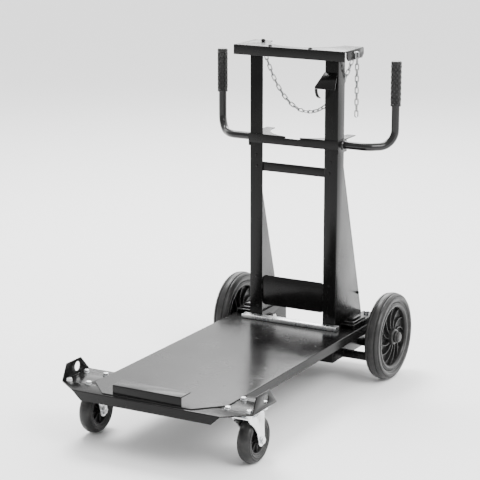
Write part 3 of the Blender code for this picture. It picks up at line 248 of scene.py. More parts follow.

# %% [markdown]
# ## Putting a piece on the cart
# A finished piece is a mesh in the cart's own frame. This helper links it, gives it a finish, lets it
# ride on its body, and hides the nodes of the imported model it stands for.

# %% Helper that places a piece
SMOOTH_ANGLE = math.radians(38)


def place(name, mesh, body, finish, *stands_for):
    mesh.name = name
    mesh.materials.clear()
    mesh.materials.append(finish)
    mesh.polygons.foreach_set("material_index", [0] * len(mesh.polygons))
    piece = bpy.data.objects.new(name, mesh)
    bpy.context.scene.collection.objects.link(piece)
    mesh.shade_smooth()
    mesh.set_sharp_from_angle(angle=SMOOTH_ANGLE)
    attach(piece, body)
    if stands_for:
        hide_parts(*stands_for)
    return piece


def middle_of(node):
    low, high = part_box(node)
    return (Vector(low) + Vector(high)) / 2


# %% [markdown]
# ## Folded sheet steel
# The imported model's sheets have knife-sharp edges. Real sheet has a small break along each sheared
# edge and a wider radius along each fold. A fold can be told from a sheared edge by its two faces:
# both are wide, while a sheared edge has a face only as wide as the sheet is thick. So each sheet is
# copied, its loose triangles are merged, the folds get the wide radius, and the rest a small one.
# The small ones also get the "edge" attribute that the powder coat wears away.

# %% Round the sheets' edges
FOLD_RADIUS = 0.0026
EDGE_BREAK = 0.00045
FOLD_FACE = 0.0062


def face_width(face):
    return face.calc_area() / max(edge.calc_length() for edge in face.edges)


def softened(node, fold=FOLD_RADIUS, edge_break=EDGE_BREAK):
    """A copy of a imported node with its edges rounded."""
    work = bmesh.new()
    work.from_mesh(frame["nodes"][node].data)
    bmesh.ops.remove_doubles(work, verts=work.verts, dist=1e-5)
    bmesh.ops.dissolve_limit(
        work, angle_limit=math.radians(0.5), use_dissolve_boundaries=False,
        verts=work.verts, edges=work.edges, delimit=set(),
    )
    worn = work.faces.layers.float.new("edge")
    corners = [e for e in work.edges if len(e.link_faces) == 2 and e.calc_face_angle() > math.radians(40)]
    folds = [
        e for e in corners
        if e.is_convex and e.calc_length() > 0.04 and min(map(face_width, e.link_faces)) > FOLD_FACE
    ]
    if folds and fold:
        bmesh.ops.bevel(work, geom=folds, offset=fold, segments=4, profile=0.5, affect="EDGES", clamp_overlap=True)
    sheared = [
        e for e in work.edges
        if len(e.link_faces) == 2 and e.is_convex and e.calc_face_angle() > math.radians(50)
    ]
    made = bmesh.ops.bevel(
        work, geom=sheared, offset=edge_break, segments=2, profile=0.5, affect="EDGES", clamp_overlap=True,
    )
    for face in made["faces"]:
        face[worn] = 1.0
    mesh = bpy.data.meshes.new(node)
    work.to_mesh(mesh)
    work.free()
    return mesh


SHEETS = [
    "front_plate", "front_stop", "base_tray", "cylinder_well", "upright_left", "upright_right",
    "head_plate", "cradle_plate", "head_bar", "cross_bar", "lower_panel", "axle_mount_left",
    "axle_mount_right", "wheel_bracket_left", "wheel_bracket_right",
]
for node in SHEETS:
    place(node + "_sheet", softened(node), "chassis", POWDER_COAT, node)
place("rear_stop_bar", softened("rear_stop", 0.0015), "chassis", ZINC, "rear_stop")
place("retaining_hook_sheet", softened("retaining_hook", 0.001), "chassis", POWDER_COAT, "retaining_hook")
place("cable_hook_strip", softened("cable_hook", 0), "chassis", POWDER_COAT, "cable_hook")
for side in ("left", "right"):
    place(f"caster_plate_{side}_zinc", softened(f"caster_plate_{side}", 0), "chassis", ZINC, f"caster_plate_{side}")
print("softened sheets:", len(SHEETS) + 5)

# %% [markdown]
# ## Lashing ears
# Each end of the front plate carries a lug with a round hole for a strap. The hole is what one looks
# at, so the lug is drawn again with a finely divided hole: a Boolean cut, made at once, then the same
# edge rounding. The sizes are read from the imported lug.

# %% Lashing ears
EAR_HOLE_RADIUS = 0.0125
EAR_HOLE_RISE = 0.020
EAR_HOLE_BEHIND = 0.068
EAR_TOP_CUTS = (0.020, 0.038)


def turned(profile, axis="X", segments=64, centre=(0, 0, 0)):
    """A closed outline of (radius, place along the axis) points turned about an axis."""
    work = bmesh.new()
    rings = []
    for radius, offset in profile:
        if radius < 1e-7:
            rings.append([work.verts.new((offset, 0, 0))] * segments)
            continue
        turns = [math.tau * step / segments for step in range(segments)]
        rings.append([work.verts.new((offset, radius * math.cos(a), radius * math.sin(a))) for a in turns])
    for here, ring in enumerate(rings):
        after = rings[(here + 1) % len(rings)]
        for step in range(segments):
            turn = (step + 1) % segments
            corners = list(dict.fromkeys((ring[step], ring[turn], after[turn], after[step])))
            if len(corners) > 2:
                work.faces.new(corners)
    bmesh.ops.recalc_face_normals(work, faces=work.faces)
    if axis == "Z":
        work.transform(Matrix.Rotation(-math.pi / 2, 4, "Y"))
    work.transform(Matrix.Translation(centre))
    mesh = bpy.data.meshes.new("turned")
    work.to_mesh(mesh)
    work.free()
    return mesh


def cut_out(mesh, tool):
    """The first mesh with the second cut from it."""
    body = bpy.data.objects.new("body", mesh)
    cutter = bpy.data.objects.new("cutter", tool)
    for obj in (body, cutter):
        bpy.context.scene.collection.objects.link(obj)
    step = body.modifiers.new("cut", "BOOLEAN")
    step.operation = "DIFFERENCE"
    step.solver = "EXACT"
    step.object = cutter
    graph = bpy.context.evaluated_depsgraph_get()
    made = bpy.data.meshes.new_from_object(body.evaluated_get(graph))
    for obj in (body, cutter):
        bpy.data.objects.remove(obj, do_unlink=True)
    return made


def rounded_edges(mesh, width, angle=50):
    work = bmesh.new()
    work.from_mesh(mesh)
    worn = work.faces.layers.float.new("edge")
    sharp = [e for e in work.edges if len(e.link_faces) == 2 and e.calc_face_angle() > math.radians(angle)]
    made = bmesh.ops.bevel(work, geom=sharp, offset=width, segments=2, profile=0.5, affect="EDGES", clamp_overlap=True)
    for face in made["faces"]:
        face[worn] = 1.0
    work.to_mesh(mesh)
    work.free()
    return mesh


def slab(outline, low, high, axis="X"):
    """An outline of two coordinates pushed along the third axis."""
    place_of = {
        "X": lambda u, v, w: (w, u, v),
        "Y": lambda u, v, w: (u, w, v),
        "Z": lambda u, v, w: (u, v, w),
    }[axis]
    work = bmesh.new()
    near = [work.verts.new(place_of(u, v, low)) for u, v in outline]
    far = [work.verts.new(place_of(u, v, high)) for u, v in outline]
    work.faces.new(near)
    work.faces.new(far)
    for here in range(len(outline)):
        after = (here + 1) % len(outline)
        work.faces.new((near[here], near[after], far[after], far[here]))
    bmesh.ops.recalc_face_normals(work, faces=work.faces)
    mesh = bpy.data.meshes.new("slab")
    work.to_mesh(mesh)
    work.free()
    return mesh


for side in ("left", "right"):
    low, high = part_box(f"lashing_ear_{side}")
    front_cut, back_cut = EAR_TOP_CUTS
    outline = [
        (low[1], low[2]), (high[1], low[2]), (high[1] - back_cut, high[2]), (low[1] + front_cut, high[2]),
    ]
    hole_at = (low[0] - 0.01, low[1] + EAR_HOLE_BEHIND, low[2] + EAR_HOLE_RISE)
    drill = turned([(0, 0), (EAR_HOLE_RADIUS, 0), (EAR_HOLE_RADIUS, 0.03), (0, 0.03)], centre=hole_at)
    ear = rounded_edges(cut_out(slab(outline, low[0], high[0]), drill), 0.0006)
    place(f"lashing_ear_{side}_lug", ear, "chassis", POWDER_COAT, f"lashing_ear_{side}")
print("lashing ears: 2, hole", round(EAR_HOLE_RADIUS * 2000, 1), "mm")

# %% [markdown]
# ## Caster forks
# A fork is pressed from one sheet: a crown under the ball race and two legs that sweep back to the
# axle. The front edge of a leg is a hollow curve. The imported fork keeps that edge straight, so here
# two round cutters take the curve out of it, one ahead of the legs and a flatter one behind.

# %% Caster forks
LEG_HOLLOW = 0.085
LEG_WAIST = 0.0165
CROWN_SIDE = 0.011
BEHIND_HOLLOW = 0.120


def hollow(radius, at_crown, at_axle, ahead):
    """A round cutter, as (y, z) and a radius, whose edge passes through two points of the leg's edge."""
    chord = (at_axle - at_crown).length
    middle = (at_crown + at_axle) / 2
    across = Vector((at_axle.y - at_crown.y, at_crown.x - at_axle.x)).normalized()
    if (across.x < 0) != ahead:
        across = -across
    return middle + across * math.sqrt(radius ** 2 - chord ** 2 / 4)


for side in ("left", "right"):
    node = f"caster_fork_{side}"
    low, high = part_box(node)
    at = middle_of(f"caster_axle_{side}")
    wide = high[0] - low[0]
    cuts = (
        (LEG_HOLLOW, Vector((low[1], high[2] - CROWN_SIDE)), Vector((at.y - LEG_WAIST, at.z + 0.004)), True),
        (BEHIND_HOLLOW, Vector((high[1] + 0.0002, high[2] - CROWN_SIDE)), Vector((at.y + LEG_WAIST, at.z + 0.004)), False),
    )
    fork = softened(node, 0.0015, 0)
    for radius, at_crown, at_axle, ahead in cuts:
        centre = hollow(radius, at_crown, at_axle, ahead)
        tool = turned([(0, -wide), (radius, -wide), (radius, wide), (0, wide)], "X", 160, (at.x, *centre))
        fork = cut_out(fork, tool)
    place(f"fork_{side}_zinc", rounded_edges(fork, 0.0005), f"caster_{side}", ZINC, node)
print("forks: 2, faces each:", len(fork.polygons))

# %% [markdown]
# ## Growing pieces with Geometry Nodes
# Anything that repeats is grown by a node tree: the tree is given a small start mesh and a few named
# sizes. The helper below builds a tree's frame, and a second one runs a tree on a start mesh, keeps
# the plain result and throws the modifier away. A modifier's inputs are set by their identifiers.

# %% Helpers for node trees
KINDS = {float: "NodeSocketFloat", int: "NodeSocketInt"}


def new_tree(name, **sizes):
    """A tree with a geometry input, named sizes, a Finish input and a geometry output."""
    tree = bpy.data.node_groups.new(name, "GeometryNodeTree")
    tree.interface.new_socket("Geometry", in_out="INPUT", socket_type="NodeSocketGeometry")
    for label, value in sizes.items():
        made = tree.interface.new_socket(label.replace("_", " "), in_out="INPUT", socket_type=KINDS[type(value)])
        made.default_value = value
    tree.interface.new_socket("Finish", in_out="INPUT", socket_type="NodeSocketMaterial")
    tree.interface.new_socket("Geometry", in_out="OUTPUT", socket_type="NodeSocketGeometry")
    return tree, tree.nodes.new("NodeGroupInput")


def end_tree(tree, given, instances):
    """The last steps of every tree: real geometry, in its finish."""
    real = add_node(tree, "GeometryNodeRealizeInstances", {"Geometry": instances})
    coated = add_node(tree, "GeometryNodeSetMaterial", {
        "Geometry": real.outputs["Geometry"], "Material": given.outputs["Finish"],
    })
    out = tree.nodes.new("NodeGroupOutput")
    tree.links.new(coated.outputs["Geometry"], out.inputs["Geometry"])
    return tree


def calc(tree, operation, first, second=0.0, third=0.0):
    return add_node(tree, "ShaderNodeMath", {0: first, 1: second, 2: third}, operation=operation).outputs[0]


def grow(tree, start, finish, **sizes):
    """Runs a tree on a start mesh and returns the result as a plain mesh."""
    seed = bpy.data.objects.new("seed", start)
    bpy.context.scene.collection.objects.link(seed)
    step = seed.modifiers.new("grow", "NODES")
    step.node_group = tree
    wanted = {label.replace("_", " "): value for label, value in sizes.items()}
    wanted["Finish"] = finish
    for item in tree.interface.items_tree:
        if item.in_out == "INPUT" and item.name in wanted:
            step[item.identifier] = wanted[item.name]
    graph = bpy.context.evaluated_depsgraph_get()
    mesh = bpy.data.meshes.new_from_object(seed.evaluated_get(graph))
    bpy.data.objects.remove(seed, do_unlink=True)
    return mesh


def joined(*meshes):
    """Several meshes as one. They share one finish."""
    work = bmesh.new()
    for mesh in meshes:
        work.from_mesh(mesh)
    mesh = bpy.data.meshes.new("joined")
    for material in meshes[0].materials:
        mesh.materials.append(material)
    work.to_mesh(mesh)
    work.free()
    return mesh


# %% [markdown]
# ## Rear wheels
# A rear wheel is a nylon centre with raked, curved blades between its hub and its barrel, and a
# solid rubber tyre. The round parts are one outline turned about the axle. The blades follow a rule,
# so one blade is drawn and a tree repeats it round the axle. The corners of the outlines are rounded
# first, because a real mould has no sharp ones and they would catch no light.

# %% Rounded outlines
CORNER_STEPS = 3


def eased(points, radius):
    """A closed outline with each corner replaced by a short curve."""
    count = len(points)
    result = []
    for here in range(count):
        corner = Vector(points[here])
        before = Vector(points[here - 1]) - corner
        after = Vector(points[(here + 1) % count]) - corner
        reach = min(radius, before.length * 0.4, after.length * 0.4)
        if corner.x < 1e-7 or reach < 1e-5:
            result.append(tuple(corner))
            continue
        start = corner + before.normalized() * reach
        end = corner + after.normalized() * reach
        for step in range(CORNER_STEPS + 1):
            share = step / CORNER_STEPS
            result.append(tuple(
                start * (1 - share) ** 2 + corner * 2 * share * (1 - share) + end * share ** 2
            ))
    return result


def both_ways(half):
    """An outline whose second half mirrors its first across the wheel's middle plane."""
    return half + [(radius, -across) for radius, across in reversed(half)]


# %% [markdown]
# ### The tree that repeats a piece round an axle
# Points are made by number, each is turned by its share of a full turn about X, and the start mesh
# is set on every one of them.

# %% Tree: copies round an axle
def make_ring_tree():
    tree, given = new_tree("copies_round_an_axle", Count=12, First_turn=0.0)
    points = add_node(tree, "GeometryNodePoints", {"Count": given.outputs["Count"]})
    number = add_node(tree, "GeometryNodeInputIndex").outputs["Index"]
    share = calc(tree, "DIVIDE", number, given.outputs["Count"])
    angle = calc(tree, "MULTIPLY_ADD", share, math.tau, given.outputs["First turn"])
    turn = add_node(tree, "ShaderNodeCombineXYZ", {"X": angle})
    copies = add_node(tree, "GeometryNodeInstanceOnPoints", {
        "Points": points.outputs[0], "Instance": given.outputs["Geometry"], "Rotation": turn.outputs[0],
    })
    return end_tree(tree, given, copies.outputs["Instances"])


RING = make_ring_tree()
print("tree:", RING.name)

# %% Rear wheel shapes
BLADE_COUNT = 12
BLADE_SWEEP = math.radians(38)
BLADE_THICKNESS = 0.0042
REAR_HUB_RADIUS = 0.023
REAR_BORE = 0.0104
BARREL_INNER = 0.0835


def curved_blade():
    """One blade: it leaves the hub straight, leans over towards the barrel, and narrows outwards."""
    steps = 9
    inner = REAR_HUB_RADIUS - 0.002
    outer = BARREL_INNER + 0.003
    spine = []
    for step in range(steps + 1):
        share = step / steps
        radius = inner + (outer - inner) * share
        angle = BLADE_SWEEP * share ** 1.4
        spine.append((radius, angle, 0.0145 - 0.004 * share))
    work = bmesh.new()
    rows = []
    for radius, angle, half in spine:
        lean = BLADE_THICKNESS / 2 / radius
        row = []
        for across, turn in ((-half, -lean), (half, -lean * 0.55), (half, lean * 0.55), (-half, lean)):
            a = angle + turn
            row.append(work.verts.new((across, radius * math.sin(a), radius * math.cos(a))))
        rows.append(row)
    for first, second in zip(rows, rows[1:]):
        for side in range(4):
            after = (side + 1) % 4
            work.faces.new((first[side], first[after], second[after], second[side]))
    work.faces.new(rows[0])
    work.faces.new(rows[-1])
    bmesh.ops.recalc_face_normals(work, faces=work.faces)
    mesh = bpy.data.meshes.new("blade")
    work.to_mesh(mesh)
    work.free()
    return mesh


def rear_centre():
    low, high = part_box("rear_rim_right")
    half = (high[0] - low[0]) / 2
    rim = (high[2] - low[2]) / 2
    outline = both_ways([
        (REAR_BORE, half), (REAR_HUB_RADIUS - 0.004, half), (REAR_HUB_RADIUS, half - 0.003),
        (REAR_HUB_RADIUS + 0.001, 0.0025), (BARREL_INNER - 0.001, 0.0025), (BARREL_INNER, half - 0.009),
        (BARREL_INNER + 0.0035, half - 0.004), (rim - 0.0055, half - 0.0035), (rim - 0.003, half - 0.006),
        (rim, half - 0.006),
    ])
    return turned(eased(outline, 0.0016), segments=96)


def rear_rubber():
    low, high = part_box("rear_tyre_right")
    half = (high[0] - low[0]) / 2
    radius = (high[2] - low[2]) / 2
    outline = both_ways([
        (0.0984, half - 0.0078), (0.1006, half - 0.0056), (0.1032, half - 0.0050), (0.1040, half - 0.0022),
        (0.1075, half - 0.0004), (0.1118, half), (0.1150, half - 0.0012), (0.1158, half - 0.0040),
        (0.1168, half - 0.0044), (0.1178, half - 0.0026), (0.1204, half - 0.0050), (0.1226, half - 0.0086),
        (0.1229, half - 0.0110), (0.1208, half - 0.0120), (0.1208, half - 0.0136), (0.1238, half - 0.0146),
        (radius - 0.0002, half - 0.0190), (radius, 0.0012),
    ])
    return turned(eased(outline, 0.0008), segments=112)


def moved(mesh, offset):
    copy = mesh.copy()
    copy.transform(Matrix.Translation(offset))
    return copy


centre_mesh = rear_centre()
centre_mesh.materials.append(NYLON)
blades = grow(RING, curved_blade(), NYLON, Count=BLADE_COUNT)
for side in ("left", "right"):
    at = middle_of(f"rear_rim_{side}")
    centre = joined(moved(centre_mesh, at), moved(blades, at))
    place(f"rear_wheel_centre_{side}", centre, f"rear_wheel_{side}", NYLON, f"rear_rim_{side}")
    place(f"rear_tyre_{side}_rubber", moved(rear_rubber(), at), f"rear_wheel_{side}", TYRE, f"rear_tyre_{side}")
print("rear wheels: 2, blades each:", BLADE_COUNT, "faces in a centre:", len(centre.polygons))

# %% [markdown]
# ### Axle, spacer and cap
# A stub axle runs from inside the well through its wall and the bracket to the wheel. A spacer keeps
# the wheel off the bracket, and a cap closes the end.

# %% Axle, spacer and cap
AXLE_RADIUS = 0.010


def hex_outline(across):
    return [(across / math.sqrt(3) * math.cos(a), across / math.sqrt(3) * math.sin(a))
            for a in (math.tau * step / 6 for step in range(6))]


def hex_head(across, low, high, centre_y, centre_z):
    """A hexagon with its two faces turned off at the corners, as a nut's are."""
    outline = [(centre_y + u, centre_z + v) for u, v in hex_outline(across)]
    return rounded_edges(slab(outline, min(low, high), max(low, high)), 0.0006, 40)


for side, sign in (("left", -1), ("right", 1)):
    low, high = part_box(f"stub_axle_{side}")
    at = middle_of(f"rear_rim_{side}")
    inner, outer = sorted((low[0], high[0]), key=abs)
    head_end = inner + sign * 0.010
    shaft = turned(eased([
        (0, head_end - sign * 0.002), (AXLE_RADIUS, head_end - sign * 0.002),
        (AXLE_RADIUS, outer - sign * 0.001), (AXLE_RADIUS - 0.001, outer), (0, outer),
    ], 0.0004), segments=48, centre=(0, at.y, at.z))
    head = hex_head(0.0255, inner, head_end, at.y, at.z)
    place(f"stub_axle_{side}_steel", joined(shaft, head), "chassis", STEEL, f"stub_axle_{side}")

    low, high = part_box(f"wheel_spacer_{side}")
    ring = eased([(0.0106, low[0]), (0.0142, low[0]), (0.0142, high[0]), (0.0106, high[0])], 0.0006)
    spacer = turned(ring, segments=48, centre=(0, at.y, at.z))
    place(f"wheel_spacer_{side}_steel", spacer, "chassis", STEEL, f"wheel_spacer_{side}")

    low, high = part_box(f"axle_cap_{side}")
    start, end = sorted((low[0], high[0]), key=abs)
    cap = turned(eased([
        (0.0104, start), (0.0168, start), (0.0168, start + sign * 0.0045), (0.0150, start + sign * 0.0060),
        (0.0143, end - sign * 0.0035), (0.0105, end - sign * 0.0006), (0, end),
        (0, end - sign * 0.0025), (0.0104, end - sign * 0.0025),
    ], 0.0010), segments=64, centre=(0, at.y, at.z))
    place(f"axle_cap_{side}_nylon", cap, "chassis", NYLON, f"axle_cap_{side}")
print("axles, spacers and caps: 2 of each")

# %% [markdown]
# ## Casters
# Each front caster is a plated fork that swivels on a ball race and trails a small wheel. The fork
# was softened above. Here come the wheel, whose tyre has raised rings on its sides, the ribs of the
# hub, the axle bolt with its nut and washers, and the pin that holds fork and plate together.

# %% Caster wheels
HUB_RIBS = 8


def caster_hub_mesh(low, high):
    half = (high[0] - low[0]) / 2
    rim = (high[2] - low[2]) / 2
    outline = both_ways([
        (0.0054, half), (0.0098, half), (0.0106, half - 0.002), (0.0118, 0.0045), (rim - 0.0065, 0.0045),
        (rim - 0.0045, 0.0128), (rim - 0.0025, 0.0140), (rim, 0.0140),
    ])
    mesh = turned(eased(outline, 0.0008), segments=72)
    mesh.materials.append(NYLON)
    return mesh


def caster_rubber(low, high):
    half = (high[0] - low[0]) / 2
    radius = (high[2] - low[2]) / 2
    outline = both_ways([
        (0.0394, half - 0.0050), (0.0412, half - 0.0034), (0.0432, half - 0.0030), (0.0440, half - 0.0008),
        (0.0466, half - 0.0004), (0.0474, half - 0.0026), (0.0486, half - 0.0026), (0.0494, half - 0.0002),
        (0.0524, half), (0.0532, half - 0.0024), (0.0543, half - 0.0028), (0.0550, half - 0.0012),
        (0.0572, half - 0.0030), (0.0596, half - 0.0062), (0.0614, half - 0.0106), (radius, 0.0030),
    ])
    return turned(eased(outline, 0.0007), segments=80)


RIB = rounded_edges(slab([(-0.0011, 0.0105), (0.0011, 0.0105), (0.0011, 0.0332), (-0.0011, 0.0332)], -0.0105, 0.0105), 0.0003)
ribs = grow(RING, RIB, NYLON, Count=HUB_RIBS)
for side in ("left", "right"):
    low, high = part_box(f"caster_hub_{side}")
    at = middle_of(f"caster_hub_{side}")
    hub = joined(moved(caster_hub_mesh(low, high), at), moved(ribs, at))
    place(f"caster_hub_{side}_nylon", hub, f"caster_wheel_{side}", NYLON, f"caster_hub_{side}")
    rubber = moved(caster_rubber(*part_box(f"caster_tyre_{side}")), at)
    place(f"caster_tyre_{side}_rubber", rubber, f"caster_wheel_{side}", TYRE, f"caster_tyre_{side}")

    low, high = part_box(f"caster_axle_{side}")
    fork_low, fork_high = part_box(f"caster_fork_{side}")
    washer = [(0.0052, 0), (0.0092, 0), (0.0092, 0.0012), (0.0052, 0.0012)]
    parts = [turned([(0, low[0]), (0.005, low[0]), (0.005, high[0]), (0, high[0])], segments=32, centre=(0, at.y, at.z))]
    for end, start in ((high[0] - 0.0008, fork_high[0] - 0.0052), (low[0] + 0.0008, fork_low[0] + 0.0052)):
        sign = 1 if end > start else -1
        wall = at.x + sign * 0.0243
        parts.append(hex_head(0.0165, wall + sign * 0.0012, end, at.y, at.z))
        parts.append(turned([(r, wall + sign * x) for r, x in washer], segments=40, centre=(0, at.y, at.z)))
    place(f"caster_axle_{side}_zinc", joined(*parts), f"caster_{side}", ZINC, f"caster_axle_{side}")

    low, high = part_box(f"swivel_pin_{side}")
    at = middle_of(f"swivel_pin_{side}")
    pin = turned(eased([
        (0, low[2]), (0.0085, low[2]), (0.0120, low[2] + 0.0022), (0.0120, low[2] + 0.005),
        (0.006, low[2] + 0.005), (0.006, high[2]), (0, high[2]),
    ], 0.0006), "Z", 40, (at.x, at.y, 0))
    place(f"swivel_pin_{side}_zinc", pin, "chassis", ZINC, f"swivel_pin_{side}")
print("caster wheels: 2, ribs each:", HUB_RIBS)

# %% [markdown]
# ## Bolts, nuts and screws
# A cart like this has dozens of fasteners of only a few kinds. Each kind is one tree: it builds a
# head from named sizes and sets it on every point of a start mesh. Each point also carries the way
# its head faces. Hexagon heads sit on a washer and end in a slight cone, domed screws have a recess.

# %% Trees: hexagon and domed heads
def head_on_points(tree, given, head):
    """Sets a head, built along +Z, on each point, turned to the point's own facing."""
    facing = add_node(tree, "GeometryNodeInputNamedAttribute", {"Name": "facing"}, data_type="FLOAT_VECTOR")
    turn = add_node(tree, "FunctionNodeAlignRotationToVector", {"Vector": facing.outputs["Attribute"]}, axis="Z")
    number = add_node(tree, "GeometryNodeInputIndex").outputs["Index"]
    odd = calc(tree, "MULTIPLY", number, 1.3)
    spin = add_node(tree, "ShaderNodeCombineXYZ", {"Z": odd})
    rolled = add_node(tree, "FunctionNodeRotateRotation", {
        "Rotation": turn.outputs["Rotation"], "Rotate By": spin.outputs[0],
    }, rotation_space="LOCAL")
    copies = add_node(tree, "GeometryNodeInstanceOnPoints", {
        "Points": given.outputs["Geometry"], "Instance": head, "Rotation": rolled.outputs["Rotation"],
    })
    return end_tree(tree, given, copies.outputs["Instances"])


def ring_of(tree, sides, low_radius, high_radius, depth, base):
    """A short cone frustum that stands on a height."""
    cone = add_node(tree, "GeometryNodeMeshCone", {
        "Vertices": sides, "Radius Bottom": low_radius, "Radius Top": high_radius, "Depth": depth,
    })
    up = add_node(tree, "ShaderNodeCombineXYZ", {"Z": base})
    return add_node(tree, "GeometryNodeTransform", {
        "Geometry": cone.outputs["Mesh"], "Translation": up.outputs[0],
    }).outputs["Geometry"]


def make_hex_tree():
    tree, given = new_tree("hexagon_heads", Across=0.013, Height=0.0053, Washer=0.016, Washer_height=0.0016)
    washer = given.outputs["Washer height"]
    corner = calc(tree, "DIVIDE", given.outputs["Across"], math.sqrt(3))
    body = calc(tree, "MULTIPLY", given.outputs["Height"], 0.80)
    crown = calc(tree, "MULTIPLY", given.outputs["Height"], 0.20)
    inset = calc(tree, "MULTIPLY", corner, 0.86)
    disc = calc(tree, "MULTIPLY", given.outputs["Washer"], 0.5)
    parts = [
        ring_of(tree, 28, disc, calc(tree, "MULTIPLY", disc, 0.96), washer, 0.0),
        ring_of(tree, 6, corner, corner, body, washer),
        ring_of(tree, 6, corner, inset, crown, calc(tree, "ADD", washer, body)),
    ]
    join = tree.nodes.new("GeometryNodeJoinGeometry")
    for part in parts:
        tree.links.new(part, join.inputs[0])
    return head_on_points(tree, given, join.outputs[0])


def make_dome_tree():
    tree, given = new_tree("domed_heads", Across=0.009, Height=0.003)
    radius = calc(tree, "MULTIPLY", given.outputs["Across"], 0.5)
    low = calc(tree, "MULTIPLY", given.outputs["Height"], 0.45)
    high = calc(tree, "MULTIPLY", given.outputs["Height"], 0.40)
    inner = calc(tree, "MULTIPLY", radius, 0.88)
    top = calc(tree, "MULTIPLY", radius, 0.55)
    join = tree.nodes.new("GeometryNodeJoinGeometry")
    for part in (
        ring_of(tree, 24, radius, inner, low, 0.0),
        ring_of(tree, 24, inner, top, high, low),
        ring_of(tree, 6, calc(tree, "MULTIPLY", radius, 0.42), calc(tree, "MULTIPLY", radius, 0.36),
                calc(tree, "MULTIPLY", given.outputs["Height"], 0.15), calc(tree, "ADD", low, high)),
    ):
        tree.links.new(part, join.inputs[0])
    return head_on_points(tree, given, join.outputs[0])


HEX_HEADS = make_hex_tree()
DOMED_HEADS = make_dome_tree()


def marks(spots):
    """A start mesh of loose points. Each spot is a place and the way its head faces."""
    mesh = bpy.data.meshes.new("marks")
    mesh.from_pydata([tuple(spot) for spot, _ in spots], [], [])
    facing = mesh.attributes.new("facing", "FLOAT_VECTOR", "POINT")
    for item, (_, way) in zip(facing.data, spots):
        item.vector = way
    return mesh


print("trees:", HEX_HEADS.name, "and", DOMED_HEADS.name)

# %% Caster bolts and nuts
UP = (0, 0, 1)
DOWN = (0, 0, -1)
plate_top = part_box("front_plate")[1][2]
bolt_nodes = sorted(name for name in frame["nodes"] if name.startswith("caster_bolt"))
seats = []
for node in bolt_nodes:
    at = middle_of(node)
    seats.append((at.x, at.y))
caster_plate_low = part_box("caster_bolt_left_1")[0][2] + 0.003
tops = grow(HEX_HEADS, marks([((x, y, plate_top), UP) for x, y in seats]), ZINC)
nuts = grow(HEX_HEADS, marks([((x, y, caster_plate_low), DOWN) for x, y in seats]), ZINC, Height=0.0065)
ends = [turned([(0, caster_plate_low - 0.0105), (0.0032, caster_plate_low - 0.0105),
                (0.004, caster_plate_low - 0.0095), (0.004, plate_top + 0.002), (0, plate_top + 0.002)],
               "Z", 20, (x, y, 0)) for x, y in seats]
place("caster_bolts", joined(tops, nuts, *ends), "chassis", ZINC, *bolt_nodes)
print("caster bolts:", len(seats))

# %% Head plate screws and chain anchor
head_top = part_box("head_plate")[1][2]
head_seats = [middle_of(name) for name in ("head_bolt_1", "head_bolt_2")]
heads = grow(DOMED_HEADS, marks([((at.x, at.y, head_top), UP) for at in head_seats]), POWDER_COAT, Across=0.0125, Height=0.0045)
place("head_screws", heads, "chassis", POWDER_COAT, "head_bolt_1", "head_bolt_2")
low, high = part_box("chain_anchor_bolt")
at = middle_of("chain_anchor_bolt")
knob = turned(eased([
    (0, low[2]), (0.003, low[2]), (0.003, head_top + 0.0005), (0.0062, head_top + 0.0005),
    (0.0062, head_top + 0.003), (0.0054, high[2] - 0.0015), (0.0030, high[2]), (0, high[2]),
], 0.0008), "Z", 40, (at.x, at.y, 0))
place("chain_anchor_knob", knob, "chassis", POWDER_COAT, "chain_anchor_bolt")
print("head plate screws:", len(head_seats))

# %% [markdown]
# The uprights are held by small domed screws through their faces and webs, and each axle mount by
# plated nuts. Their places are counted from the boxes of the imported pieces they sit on, and the left
# side mirrors the right.

# %% Screws on the uprights, nuts on the axle mounts
FACE_SCREWS = ((0.027, 0.036), (0.023, 0.123), (0.0205, 0.477))
WEB_SCREW = (0.148, 0.072)
PLATE_SCREW = (0.182, 0.090)
NUT_SHARE = 0.86
CLAMP_STEPS = ((0.010, 0.088, 0.017, 0.006), (0.024, 0.070, 0.011, 0.013))
face_low, face_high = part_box("upright_right")
spots = []
for in_from_edge, rise in FACE_SCREWS:
    x = face_high[0] - in_from_edge
    spots += [((sign * x, face_low[1], face_low[2] + rise), (0, -1, 0)) for sign in (-1, 1)]
spots += [((sign * face_high[0], face_low[1] + WEB_SCREW[0], face_low[2] + WEB_SCREW[1]), (sign, 0, 0)) for sign in (-1, 1)]
place("upright_screws", grow(DOMED_HEADS, marks(spots), POWDER_COAT), "chassis", POWDER_COAT)
bracket_low, bracket_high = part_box("head_bar")
cross_low, cross_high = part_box("cross_bar")
rivets = []
for bar_low, bar_high in ((bracket_low, bracket_high), (cross_low, cross_high)):
    for x in (bar_low[0] + 0.020, bar_high[0] - 0.020):
        rivets.append(((x, face_low[1], (bar_low[2] + bar_high[2]) / 2), (0, -1, 0)))
place("cross_bar_rivets", grow(DOMED_HEADS, marks(rivets), POWDER_COAT, Across=0.008, Height=0.0022), "chassis", POWDER_COAT)
mount_low, mount_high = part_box("axle_mount_right")
mount_x = (mount_low[0] + mount_high[0]) / 2
nut_y = mount_low[1] + (mount_high[1] - mount_low[1]) * NUT_SHARE
mount_nuts = [((sign * mount_x, nut_y, mount_high[2]), UP) for sign in (-1, 1)]
place("mount_nuts", grow(HEX_HEADS, marks(mount_nuts), ZINC, Height=0.0065), "chassis", ZINC)
clamps = []
for sign in (-1, 1):
    for start, end, half, rise in CLAMP_STEPS:
        outline = [(start, 0), (end, 0), (end, rise), (start, rise)]
        outline = [(mount_low[1] + y, mount_high[2] - 0.0004 + z) for y, z in outline]
        step = slab(outline, sign * mount_x - half, sign * mount_x + half)
        clamps.append(rounded_edges(step, 0.0006))
place("mount_clamps", joined(*clamps), "chassis", POWDER_COAT)
lip_low, lip_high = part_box("front_plate")
plate_spots = [((sign * PLATE_SCREW[0], lip_low[1] + PLATE_SCREW[1], plate_top), UP) for sign in (-1, 1)]
